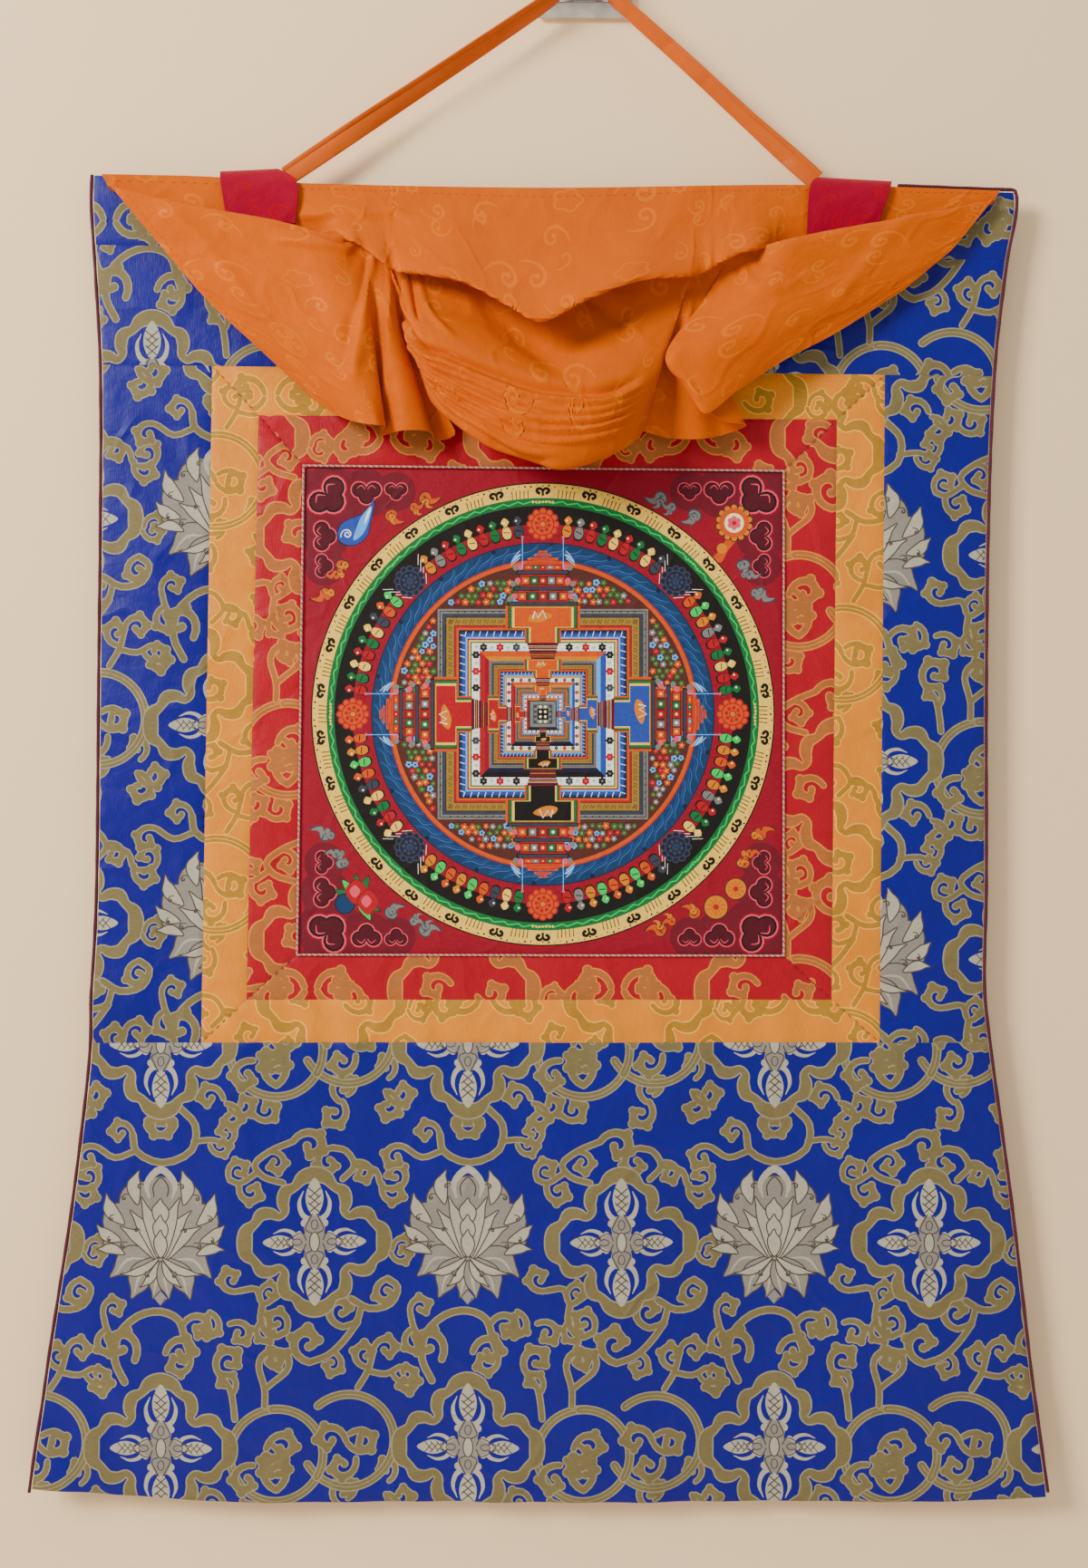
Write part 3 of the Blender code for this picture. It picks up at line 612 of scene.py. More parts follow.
def cut_cloth(outline, shapes, cell, extra=()):
    """Cut a piece of cloth into triangles along its outline and all that is drawn on it."""
    spots, lines = drawn_lines(outline, shapes)
    order = {spot: number for number, spot in enumerate(sorted({spot for pair in lines for spot in pair}))}
    corners = [spots[spot] for spot in order]
    edges = list({(min(order[a], order[b]), max(order[a], order[b])) for a, b in lines})
    threads = {(order[a], order[b]): thread for (a, b), thread in lines.items()}
    low, high = outline.min(axis=0), outline.max(axis=0)
    columns, rows = (max(int(span / cell), 1) for span in high - low)
    for row in range(rows):
        for column in range(columns):
            inside = ((column + 0.5) / columns, (row + 0.5) / rows)
            corners.append(Vector((mix(low[0], high[0], inside[0]), mix(low[1], high[1], inside[1]))))
    for near in extra:
        corners.extend(Vector(spot) for spot in near)
    rim = {a: b for a, b in threads if (b, a) not in threads}
    loop = [min(rim)]
    while rim[loop[-1]] != loop[0]:
        loop.append(rim[loop[-1]])
    found = delaunay_2d_cdt(corners, edges, [loop], 1, 1e-6, True)
    fixed = {pair for edge, sources in zip(found[1], found[4]) if sources for pair in (edge, edge[::-1])}
    origin = [min(sources) if sources else -1 for sources in found[3]]
    triangles = [triangle for triangle, sources in zip(found[2], found[5]) if sources]
    owner = {}
    for number, (a, b, c) in enumerate(triangles):
        owner[a, b] = owner[b, c] = owner[c, a] = number
    kept = [None] * len(triangles)
    waiting = []
    for (a, b), number in owner.items():
        thread = threads.get((origin[a], origin[b]))
        if thread is not None and kept[number] is None:
            kept[number] = thread
            waiting.append(number)
    while waiting:
        number = waiting.pop()
        a, b, c = triangles[number]
        for pair in ((a, b), (b, c), (c, a)):
            beyond = owner.get(pair[::-1])
            if pair not in fixed and beyond is not None and kept[beyond] is None:
                kept[beyond] = kept[number]
                waiting.append(beyond)
    spots = np.array([tuple(corner) for corner in found[0]])
    used = np.unique(np.array(triangles))
    order = np.full(len(spots), -1)
    order[used] = np.arange(len(used))
    return Cut(spots[used], order[np.array(triangles)], np.array([thread or GROUND for thread in kept]))


def border(triangles):
    """The corners round a cut piece, turning left, from its lowest-numbered one."""
    pairs = {tuple(pair) for a, b, c in triangles.tolist() for pair in ((a, b), (b, c), (c, a))}
    following = {start: end for start, end in pairs if (end, start) not in pairs}
    loop = [min(following)]
    while following[loop[-1]] != loop[0]:
        loop.append(following[loop[-1]])
    return loop


def square_to(place, flat):
    """Directions square to the cloth at the flat spots, towards its face."""
    right = place(flat + (PROBE, 0.0)) - place(flat - (PROBE, 0.0))
    up = place(flat + (0.0, PROBE)) - place(flat - (0.0, PROBE))
    outward = np.cross(right, up)
    return outward / np.maximum(np.linalg.norm(outward, axis=1, keepdims=True), 1e-9)


def raised(place, flat, lift):
    """Places of the flat spots, moved by lift square to the cloth, towards its face."""
    return place(flat) + square_to(place, flat) * lift


def add_object(name, mesh):
    """The mesh as an object that moves with the scroll."""
    thing = bpy.data.objects.new(name, mesh)
    bpy.context.scene.collection.objects.link(thing)
    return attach(thing, "root")


def lay_cloth(name, cut, place, thickness, materials, colours=None, cell=9.0):
    """A closed sheet: the cut cloth as its face, a plain back and a rim between them."""
    loop = border(cut.triangles)
    back = cut_cloth(cut.spots[loop], [], cell)
    back_loop = border(back.triangles)
    nearest = np.linalg.norm(back.spots[back_loop] - cut.spots[loop[0]], axis=1).argmin()
    back_loop = back_loop[nearest:] + back_loop[:nearest]
    if len(loop) != len(back_loop):
        raise RuntimeError(f"{name}: the back's border doesn't match the face's")
    front_count = len(cut.spots)
    places = np.concatenate([
        raised(place, cut.spots, thickness / 2),
        raised(place, back.spots, -thickness / 2),
    ])
    rim = [
        (front_count + back_loop[step - 1], front_count + back_loop[step], loop[step], loop[step - 1])
        for step in range(len(loop))
    ]
    faces = cut.triangles.tolist() + (back.triangles[:, ::-1] + front_count).tolist() + rim
    mesh = bpy.data.meshes.new(name)
    mesh.from_pydata((places * MM).tolist(), [], faces)
    flat = np.zeros((len(places), 3), np.float32)
    flat[:, :2] = np.concatenate([cut.spots, back.spots]) * MM
    mesh.attributes.new("flat", "FLOAT_VECTOR", "POINT").data.foreach_set("vector", flat.ravel())
    beyond = np.zeros(len(faces) - len(cut.threads), int)
    threads = np.concatenate([cut.threads, beyond])
    if colours is None:
        mesh.attributes.new("thread", "FLOAT", "FACE").data.foreach_set("value", threads.astype(np.float32))
    else:
        paints = colours[threads].astype(np.float32)
        mesh.attributes.new("paint", "FLOAT_COLOR", "FACE").data.foreach_set("color", paints.ravel())
    for material in materials:
        mesh.materials.append(material)
    sides = np.zeros(len(faces), np.int32)
    sides[len(cut.triangles):len(cut.triangles) + len(back.triangles)] = 1
    mesh.polygons.foreach_set("material_index", sides)
    mesh.shade_smooth()
    mesh.set_sharp_from_angle(angle=CLOTH_CREASE)
    return add_object(name, mesh)


# ---------------------------------------------------------------- the mandala's paint

PAINTS = {
    "crimson": "#8C0822",
    "wine": "#681224",
    "dark_wine": "#4C0D1C",
    "pink": "#E0455E",
    "red": "#A80E1C",
    "orange": "#CA4B04",
    "amber": "#CE7804",
    "yellow": "#EEC352",
    "gold": "#93732B",
    "cream": "#F1F1B3",
    "white": "#F1F1F1",
    "black": "#151210",
    "brown": "#4D2620",
    "green": "#146834",
    "light_green": "#0FC54D",
    "slate": "#353A46",
    "grey": "#727370",
    "navy": "#141A38",
    "sea": "#12355E",
    "sea_line": "#33618E",
    "blue": "#28449F",
    "light_blue": "#50A6F1",
    "teal": "#214E57",
}
PAINT_NUMBERS = {name: number for number, name in enumerate(PAINTS)}


class Picture:
    """Painted shapes, later ones over earlier ones, about a middle and turned by degrees."""

    def __init__(self):
        self.shapes = []

    def fill(self, points, paint):
        """Fill an outline."""
        self.shapes.append((np.asarray(points, float), PAINT_NUMBERS[paint]))

    def line(self, points, widths, paint):
        """Draw a line of changing width."""
        self.shapes.extend(drawn(stroke(points, widths), PAINT_NUMBERS[paint]))

    def spot(self, across, height, radius, paint, sides=10):
        """Paint a round spot."""
        self.fill(disc(across, height, radius, sides), paint)

    def sized(self, size):
        """The picture at another size."""
        other = Picture()
        other.place(self, size=size)
        return other

    def place(self, other, across=0.0, height=0.0, turn=0.0, size=1.0, flip=False):
        """Repeat another picture in this one."""
        self.shapes.extend(moved(other.shapes, across, height, turn, size, flip))


def square(half):
    """A square about the middle."""
    return np.array(((-half, -half), (half, -half), (half, half), (-half, half)), float)


def box(left, low, right, high):
    """An upright rectangle."""
    return np.array(((left, low), (right, low), (right, high), (left, high)), float)


def quarter(inner, outer):
    """The upper quarter of a square band."""
    return np.array(((-inner, inner), (inner, inner), (outer, outer), (-outer, outer)), float)


def polar(radius, degrees):
    """A place at a radius and a turn from straight up."""
    angle = math.radians(90.0 - degrees)
    return radius * math.cos(angle), radius * math.sin(angle)


def flower(petal, heart, size, petals=5):
    """A small round-petalled flower."""
    picture = Picture()
    for number in range(petals):
        picture.spot(*polar(size * 0.6, number * 360 / petals), size * 0.42, petal, 6)
    picture.spot(0, 0, size * 0.32, heart, 6)
    return picture


def flame(paint, edge, size=1.0):
    """A flame tongue that curls over."""
    picture = Picture()
    body = smooth(((0, 0), (3.4, 1.0), (4.6, 4.4), (2.6, 7.6), (3.6, 10.6), (6.4, 13.0), (2.0, 12.4),
                   (-1.6, 9.4), (-0.6, 6.4), (-3.6, 6.6), (-4.4, 3.0), (-2.6, 0.6)), 3, closed=True)
    picture.fill(body, edge)
    picture.fill(body * 0.84 + (0.0, 0.9), paint)
    picture.line(spiral((0.6, 2.2), 60, 7.0, 420, 10), (0.8, 0.5), edge)
    return picture.sized(size)


def lobed_cloud(size=1.0):
    """A dark cloud of three lobes with a glowing edge."""
    picture = Picture()
    lobes = ((-4.6, 2.2, 4.4), (4.6, 2.2, 4.4), (0, -2.0, 4.6))
    for grow, paint in ((1.9, "crimson"), (1.2, "pink"), (0.4, "black"), (-0.5, "dark_wine")):
        for across, height, radius in lobes:
            picture.spot(across, height, radius + grow, paint, 14)
    picture.line(smooth(((-6, 3), (-3.2, 5.0), (-0.6, 2.4)), 4), (0.3, 0.7, 0.3), "pink")
    picture.line(smooth(((6, 3), (3.2, 5.0), (0.6, 2.4)), 4), (0.3, 0.7, 0.3), "pink")
    return picture.sized(size)


def little_vase(body, size=1.0):
    """A small vase with a bud, one of the row of offerings."""
    picture = Picture()
    outline = smooth(((-1.3, -5.0), (1.3, -5.0), (2.3, -2.2), (1.5, 0.2), (0.7, 1.4), (2.1, 3.0), (0, 5.4),
                      (-2.1, 3.0), (-0.7, 1.4), (-1.5, 0.2), (-2.3, -2.2)), 2, closed=True)
    picture.fill(outline * 1.16, "black")
    picture.fill(outline, body)
    picture.line(((-1.6, -1.6), (1.6, -2.4)), (0.45,), "black")
    picture.line(((-1.0, 0.6), (1.0, 0.9)), (0.4,), "black")
    picture.spot(-0.7, 3.1, 0.55, "cream", 6)
    return picture.sized(size)


def lotus_wheel(petal, edge, heart, radius):
    """A wheel of petals."""
    picture = Picture()
    for number in range(12):
        picture.spot(*polar(radius * 0.8, number * 30), radius * 0.25, edge, 8)
        picture.spot(*polar(radius * 0.8, number * 30), radius * 0.17, petal, 7)
    picture.spot(0, 0, radius * 0.72, edge, 18)
    picture.spot(0, 0, radius * 0.64, petal, 18)
    for number in range(8):
        picture.spot(*polar(radius * 0.4, number * 45 + 10), radius * 0.13, edge, 6)
    picture.spot(0, 0, radius * 0.24, edge, 10)
    picture.spot(0, 0, radius * 0.16, heart, 8)
    return picture


def flame_ring(picture):
    """The outermost ring: yellow, with black scrolls between groups of bars."""
    picture.spot(0, 0, 140.6, "black", 160)
    picture.spot(0, 0, 139.8, "yellow", 160)
    scrolls, bars = 30, 5
    for number in range(scrolls):
        turn = number * 360 / scrolls
        for side in (-1, 1):
            heading = 90 - turn
            start = polar(132.6, turn + side * 0.3)
            curve = spiral(start, heading + side * 50, 13.0, side * -310, 12, 1.15)
            picture.line(curve, (0.9, 1.7, 2.0, 1.2), "black")
            picture.spot(*curve[-1], 1.15, "black", 7)
        for bar in range(bars):
            place = turn + 360 / scrolls * (0.33 + 0.34 * bar / (bars - 1))
            picture.line((polar(131.0, place), polar(136.2, place + 0.15)), (0.45, 0.6), "black")
    for number in range(240):
        wobble = 0.5 * math.sin(number * 2.4)
        picture.spot(*polar(138.4 + wobble, number * 1.5), 0.55 + 0.2 * math.sin(number * 1.7), "black", 5)


def wave_ring(picture):
    """The green ring with its wavy line, then the black and the crimson ring."""
    picture.spot(0, 0, 131.2, "green", 160)
    wave = [
        polar(128.7 + 0.9 * math.sin(number * math.tau / 3), number * 360 / 270) for number in range(271)
    ]
    picture.line(wave, (0.8,), "light_green")
    for turn in range(0, 360, 45):
        for dot in range(-3, 4):
            dab = "yellow" if turn % 90 == 0 else "light_green"
            picture.spot(*polar(128.8, turn + dot * 0.9), 0.8, dab, 6)
    picture.spot(0, 0, 126.5, "black", 160)
    picture.spot(0, 0, 115.2, "crimson", 140)
    for radius in (112.6, 108.8):
        ring = [polar(radius, number * 3) for number in range(121)]
        picture.line(ring, (0.35,), "wine")


def offerings(picture):
    """The row of little vases and the eight wheels between them."""
    bodies = ("orange", "green", "amber", "slate", "red", "light_green", "yellow", "grey")
    eighth, places = 45.0, 12
    for number in range(8 * places):
        turn = number * eighth / places
        gap = min(turn % eighth, eighth - turn % eighth)
        if gap > 5.5:
            vase = little_vase(bodies[(number * 5 + number // 7) % len(bodies)], 1.22)
            picture.place(vase, *polar(114.6, turn), -turn)
    for turn in range(0, 360, 45):
        if turn % 90:
            for side in (-1, 1):
                for streak in range(4):
                    lean = turn + side * (4.3 + 0.6 * streak)
                    line = (polar(106 + 4 * streak, lean - side), polar(111 + 4 * streak, lean + side))
                    picture.line(line, (0.3, 1.1, 0.3), "white")
            picture.place(lotus_wheel("navy", "slate", "sea", 9.4), *polar(114, turn))
        else:
            picture.place(lotus_wheel("orange", "red", "amber", 9.8), *polar(115.2, turn))


def sea_ring(picture):
    """The blue ring of waves and the thin orange ring inside it."""
    picture.spot(0, 0, 104.2, "navy", 140)
    picture.spot(0, 0, 103.6, "sea", 140)
    for number in range(72):
        turn = number * 5.0
        sway = 2.2 * math.sin(number * 1.3)
        crests = ((94.8, 0.0), (98 + 0.3 * sway, 2.5), (99.2, 6), (102.6, 8.5))
        curve = smooth([polar(radius, turn + beyond) for radius, beyond in crests], 3)
        picture.line(curve, (0.3, 0.7, 0.3), "sea_line")
        picture.line(smooth([(x * 0.985, y * 0.985) for x, y in curve[::3]], 2), (0.2, 0.5, 0.2), "blue")
        if number % 4 == 0:
            picture.spot(*polar(102.6, turn + 3), 1.5, "navy", 7)
    picture.spot(0, 0, 93.8, "red", 120)
    picture.spot(0, 0, 93.2, "orange", 120)
    picture.spot(0, 0, 90.8, "brown", 120)


def garden(picture, half):
    """The garden of flowers between the orange ring and the palace."""
    picture.spot(0, 0, 90.2, "brown", 100)
    kinds = (
        flower("orange", "yellow", 2.5),
        flower("grey", "white", 2.4),
        flower("green", "amber", 2.3),
        flower("red", "pink", 2.3),
        flower("light_blue", "navy", 2.4),
    )
    chance = random.Random(11)
    pitch = 4.3
    rows = int(90 / pitch) + 1
    for row in range(-rows, rows + 1):
        for column in range(-rows, rows + 1):
            across = (column + 0.5 * (row % 2)) * pitch + chance.uniform(-0.5, 0.5)
            height = row * pitch * 0.88 + chance.uniform(-0.5, 0.5)
            if math.hypot(across, height) > 88.2 or max(abs(across), abs(height)) < half + 1.6:
                continue
            kind = kinds[chance.choice((0, 0, 1, 2, 2, 3, 4))]
            picture.place(kind, across, height, chance.uniform(0, 70), chance.uniform(0.72, 0.95))


def portal(paint):
    """A gate of one side, standing on the palace's upper edge, with its tiers."""
    picture = Picture()
    outer = (("orange", 0.0), ("brown", 1.0), ("green", 1.5), ("yellow", 2.6), (paint, 3.6))
    for colour, inset in outer:
        half = 22.6 - inset * 1.5
        picture.fill(box(-half, 51.6 + inset * 0.35, half, 65.8 - inset * 0.3), colour)
        picture.fill(box(-11.0 + inset, 42.8, 11.0 - inset, 56.0), colour)
    glint = ((-9, 57), (-4, 55.5), (2, 57), (6, 60), (0, 62), (-7, 60.5))
    picture.fill(smooth(glint, 3, closed=True), "amber")
    picture.line(((-6, 58), (-5, 62.5), (-3, 58.4), (0, 63), (2, 58)), (0.9, 0.5), "white")
    tiers = ((66.2, 20.8), (75.4, 17.2), (85.2, 15.2))
    for low, half in tiers:
        picture.fill(box(-half - 0.8, low - 0.5, half + 0.8, low + 2.2), "black")
        picture.fill(box(-half, low, half, low + 1.7), "slate")
    for low, high, half in ((68.2, 74.8, 15.4), (77.4, 84.6, 13.4), (87.2, 91.0, 11.8)):
        picture.fill(box(-half, low, half, high), "red")
        picture.fill(box(-half + 0.8, low + 0.7, half - 0.8, high - 0.7), "brown")
        tiles = 5
        for tile in range(tiles):
            middle = mix(-half + 3, half - 3, tile / (tiles - 1))
            colour = ("orange", "green", "red", "grey", "orange")[tile]
            reach = min(2.1, (high - low) / 2 - 0.9)
            centre = (low + high) / 2
            picture.fill(box(middle - 2.1, centre - reach, middle + 2.1, centre + reach), colour)
            picture.spot(middle, centre, reach * 0.5, "white" if tile % 2 else "yellow", 6)
        for side in (-1, 1):
            picture.spot(side * (half + 1.8), (low + high) / 2, 1.9, "pink", 7)
            picture.spot(side * (half + 4.6), low + 1.6, 1.8, "grey", 7)
    for low, half in ((91.2, 12.6), (93.4, 9.2), (95.6, 5.2), (97.6, 2.6)):
        picture.fill(box(-half, low, half, low + 1.5), "orange")
        picture.fill(box(-half * 0.8, low + 0.4, half * 0.8, low + 0.9), "red")
    for side in (-1, 1):
        picture.line(((side * 12.4, 88), (side * 12.4, 107)), (0.55,), "light_blue")
        banner = ((side * 13, 97), (side * 15.5, 94), (side * 19.5, 91.5), (side * 17, 96))
        picture.fill(smooth(banner, 3, closed=True), "light_blue")
        for streak in range(3):
            line = ((side * 14, 99 - streak * 2.2), (side * (17.5 + streak), 95.5 - streak * 2.6))
            picture.line(line, (0.3, 0.9, 0.2), "white")
        picture.spot(side * 12.4, 107.4, 1.0, "pink", 6)
    for step in range(6):
        low, half = 43.4 - 2.2 * step, 9.4 - 0.55 * step
        picture.fill(box(-half, low - 2.0, half, low), "brown" if step % 2 else "wine")
        picture.fill(box(-half, low - 1.1, half, low - 0.7), "amber" if step % 2 else "black")
    return picture


SIDE_PAINTS = ("orange", "blue", "black", "red")


def palace():
    """One storey of the palace seen from above, with its four gates."""
    picture = Picture()
    bands = (
        (63.8, "grey"), (62.6, "black"), (62.2, "grey"), (61.0, "slate"), (58.9, "black"), (58.5, "gold"),
        (53.9, "black"), (53.6, "red"), (52.4, "orange"), (51.0, "navy"), (49.9, "sea"), (48.9, "blue"),
        (47.9, "blue"), (46.9, "light_blue"), (45.8, "red"), (44.9, "yellow"), (43.9, "green"),
        (43.1, "white"),
        (38.3, "black"), (38.0, "amber"),
    )
    for half, paint in bands:
        picture.fill(square(half), paint)
    for number, paint in enumerate(SIDE_PAINTS):
        side = Picture()
        inner = {"orange": "amber", "blue": "light_blue", "black": "navy", "red": "crimson"}[paint]
        side.fill(quarter(32.5, 38.0), paint)
        side.fill(quarter(32.5, 35.0), inner)
        for mark in range(-13, 14):
            across = mark * 4.3
            if abs(across) > 22:
                curl = (
                    (across - 1.2, 55.2), (across - 0.6, 57.4), (across + 0.6, 55.0), (across + 1.4, 57.2),
                )
                side.line(curl, (0.55,), "brown")
                side.spot(across, 62.0, 0.5, "black", 5)
            if 11 < abs(across) < 48:
                side.line(((across, 47.2), (across + 0.9, 50.2)), (0.4, 1.1, 0.4), "white")
        blooms = ((-36, "black"), (-26, "red"), (-16, "slate"), (16, "black"), (26, "red"), (36, "black"))
        for place, petal in blooms:
            side.place(flower(petal, "pink" if petal == "red" else "grey", 2.5, 6), place, 40.6)
            side.place(flower("light_green", "white", 1.1, 4), place + 5, 40.3)
        picture.place(side, turn=-90 * number)
    for number, paint in enumerate(SIDE_PAINTS):
        picture.place(portal(paint), turn=-90 * number)
    return picture


def corner_clouds(tongue):
    """The clouds and flames of one corner, which lies at the origin, with the picture up and right of it."""
    picture = Picture()
    clouds = ((16, 17, 1.35), (38, 14, 0.95), (56, 13, 0.72), (13, 40, 0.95), (12.5, 58, 0.74))
    for across, height, size in clouds:
        picture.spot(across, height, 12.5 * size + 3, "wine", 20)
    picture.fill(box(0.4, 0.4, 34, 14), "wine")
    picture.fill(box(0.4, 0.4, 14, 36), "wine")
    for across, height, size in clouds:
        turn = -45 if across == 16 else (0 if across > height else -90)
        picture.place(lobed_cloud(size), across, height, turn + 180)
    edge = "brown" if tongue == "orange" else "slate"
    second = "amber" if tongue == "orange" else "grey"
    for across, height, turn, size in ((70, 15, -60, 1.0), (51, 24, -30, 0.95), (64, 22, -80, 0.7),
                                       (16, 72, 40, 1.0), (24, 54, 10, 0.95), (22, 62, 60, 0.7)):
        picture.place(flame(tongue, edge, size), across, height, turn, flip=height > across)
        flick = flame(second, edge, size * 0.6)
        picture.place(flick, across + 3, height + 2, turn + 40, flip=height > across)
    return picture


def shell():
    """A blue conch shell."""
    picture = Picture()
    body = ((-10, -9), (-2, -11), (6, -6), (9, 4), (11, 17), (4, 9), (-3, 6), (-9, 3), (-12, -3))
    body = smooth(body, 4, closed=True)
    picture.fill(body * 1.06, "navy")
    picture.fill(body, "blue")
    picture.fill(smooth(((-2, -8), (4, -4), (8, 5), (9.5, 14), (3, 7), (0, 0)), 3, closed=True), "light_blue")
    picture.fill(smooth(((5, 2), (8, 8), (9.6, 14), (6.4, 8.5)), 3, closed=True), "white")
    picture.line(spiral((-10, -6), 100, 26, -560, 20, 1.3), (0.5, 0.9, 0.5), "white")
    return picture


def mirror():
    """A round orange mirror with a pale rose, on its stand."""
    picture = Picture()
    stand = smooth(((-3, -8), (-9, -17), (-14, -22), (-8, -24), (-4, -17), (2, -9)), 3, closed=True)
    picture.fill(stand, "orange")
    picture.spot(-7.4, -15.5, 3.2, "amber", 10)
    for number in range(14):
        picture.spot(*polar(9.4, number * 360 / 14), 2.4, "brown", 7)
        picture.spot(*polar(9.4, number * 360 / 14), 1.8, "amber", 7)
    picture.spot(0, 0, 9.0, "orange", 20)
    picture.spot(0, 0, 6.0, "cream", 16)
    picture.place(flower("pink", "red", 4.4, 6))
    return picture


def fruits():
    """Two peaches and a plum on their leaves."""
    picture = Picture()
    pale = (-40, 150)
    for turn in (-70, -40, -5, 25, 120, 150):
        paint = "light_green" if turn in pale else "green"
        leaf = smooth(((0, 0), (2.6, 6), (0, 15), (-2.6, 6)), 3, closed=True)
        picture.shapes.extend(moved([(leaf, PAINT_NUMBERS["black"])], 0, 0, -turn, 1.06))
        picture.shapes.extend(moved([(leaf, PAINT_NUMBERS[paint])], 0, 0, -turn))
    picture.spot(-8, -3, 6.4, "navy", 14)
    picture.spot(-8, -3, 5.6, "sea", 14)
    for across, height, radius in ((-1, 3, 6.6), (6, -3, 6.4)):
        peach = ((0, radius * 1.3), (radius, 0.2 * radius), (0, -radius), (-radius, 0.2 * radius))
        peach = smooth(peach, 4, closed=True)
        picture.fill(peach * 1.06 + (across, height), "wine")
        picture.fill(peach + (across, height), "red")
        picture.fill(peach * 0.5 + (across - 1, height + 1), "pink")
    return picture


def suns():
    """Two ribbed orange discs."""
    picture = Picture()
    for across, height, radius in ((-7, -3, 7.0), (5, 8, 6.2)):
        picture.spot(across, height, radius + 0.6, "brown", 18)
        picture.spot(across, height, radius, "amber", 18)
        for number in range(10):
            end = polar(radius * 0.8, number * 36)
            picture.line(((across, height), (across + end[0], height + end[1])), (0.4, 0.7), "orange")
        picture.spot(across, height, radius * 0.25, "red", 8)
    return picture


# The painting's corners and the reach of its palace, from the mandala's middle.
CORNER_HIGH, CORNER_WIDE, PALACE_WALL = 148.0, 145.0, 66.5
MANDALA_MIDDLE = (-25.3, -452.65)


def mandala():
    """The whole painting, about the mandala's middle."""
    picture = Picture()
    high, wide = CORNER_HIGH, CORNER_WIDE
    corners = ((-1, 1, "orange"), (1, 1, "grey"), (-1, -1, "grey"), (1, -1, "orange"))
    for right, up, tongue in corners:
        for points, paint in corner_clouds(tongue).shapes:
            picture.shapes.append((points * (-right, -up) + (right * wide, up * high), paint))
    picture.place(shell(), -113, 113, 0, 0.95)
    picture.place(mirror(), 116, 116)
    picture.place(fruits(), -112, -112)
    picture.place(suns(), 112, -114)
    flame_ring(picture)
    wave_ring(picture)
    sea_ring(picture)
    garden(picture, 63.8)
    offerings(picture)
    storey = palace()
    picture.place(storey)
    storey.shapes = [shape for shape in storey.shapes if np.abs(shape[0]).max() < PALACE_WALL]
    for size in (0.508, 0.258):
        picture.place(storey, size=size)
    for half, paint in ((8.4, "black"), (7.8, "grey"), (5.8, "slate"), (5.2, "grey"), (3.4, "black")):
        picture.fill(square(half), paint)
    for across in (-4.5, -1.5, 1.5, 4.5):
        for height in (-4.5, -1.5, 1.5, 4.5):
            picture.spot(across, height, 0.9, "slate" if abs(across) > 3 else "cream", 6)
    return picture


# ---------------------------------------------------------------- materials


def hue(code):
    """A colour code as linear red, green and blue."""
    shares = [int(code[place:place + 2], 16) / 255 for place in (1, 3, 5)]
    return tuple(s / 12.92 if s <= 0.04045 else ((s + 0.055) / 1.055) ** 2.4 for s in shares)


class Wiring:
    """A node tree that is being wired."""

    def __init__(self, tree):
        self.tree = tree

    def add(self, kind, values=None, **settings):
        """A node with its settings, and a number or a link for each input named."""
        node = self.tree.nodes.new(kind)
        for setting, value in settings.items():
            setattr(node, setting, value)
        for name, value in (values or {}).items():
            self.feed(node.inputs[name], value)
        return node

    def feed(self, socket, value):
        """Set a socket, or link it."""
        if isinstance(value, bpy.types.NodeSocket):
            self.tree.links.new(value, socket)
        elif isinstance(value, (tuple, list)) and socket.type == "RGBA":
            socket.default_value = (*value[:3], 1.0)
        else:
            socket.default_value = value

    def maths(self, operation, first, second=0.0, third=0.0):
        """The result of a sum on numbers."""
        return self.add("ShaderNodeMath", {0: first, 1: second, 2: third}, operation=operation).outputs[0]

    def colour_mix(self, share, first, second, how="MIX"):
        """Two colours mixed."""
        node = self.add("ShaderNodeMix", {0: share}, data_type="RGBA", blend_type=how)
        self.feed(node.inputs[6], first)
        self.feed(node.inputs[7], second)
        return node.outputs[2]

    def number_mix(self, share, first, second):
        """Two numbers mixed."""
        return self.add("ShaderNodeMix", {0: share, 2: first, 3: second}, data_type="FLOAT").outputs[0]

    def noise(self, vector, scale, detail=3.0, roughness=0.5):
        """Soft noise from 0 to 1."""
        values = {"Vector": vector, "Scale": scale, "Detail": detail, "Roughness": roughness}
        return self.add("ShaderNodeTexNoise", values).outputs["Fac"]

    def stretched(self, vector, across, along, third=1.0):
        """Coordinates scaled apart."""
        return self.add("ShaderNodeMapping", {"Vector": vector, "Scale": (across, along, third)}).outputs[0]

    def ranged(self, value, low, high, first=0.0, last=1.0):
        """A value carried from one range to another, held at its ends."""
        values = {0: value, 1: low, 2: high, 3: first, 4: last}
        return self.add("ShaderNodeMapRange", values).outputs[0]

    def group(self, name, values):
        """A shared effect, with its own values."""
        node = self.tree.nodes.new("ShaderNodeGroup")
        node.node_tree = bpy.data.node_groups[name]
        for socket, value in values.items():
            self.feed(node.inputs[socket], value)
        return node.outputs


def new_group(name, inputs, outputs):
    """An empty shader group with named inputs and outputs, and its wiring."""
    tree = bpy.data.node_groups.new(name, "ShaderNodeTree")
    for socket, kind, value in inputs:
        made = tree.interface.new_socket(socket, in_out="INPUT", socket_type=f"NodeSocket{kind}")
        if value is not None:
            made.default_value = (*value, 1.0) if kind == "Color" else value
    for socket, kind in outputs:
        tree.interface.new_socket(socket, in_out="OUTPUT", socket_type=f"NodeSocket{kind}")
    wiring = Wiring(tree)
    return wiring, wiring.add("NodeGroupInput").outputs, wiring.add("NodeGroupOutput").inputs


# The group's colour sockets, in the order that the threads are numbered.
THREAD_SOCKETS = ("Ground", "Scroll", "Outline", "Silver", "Silver Line", "Silver Light")


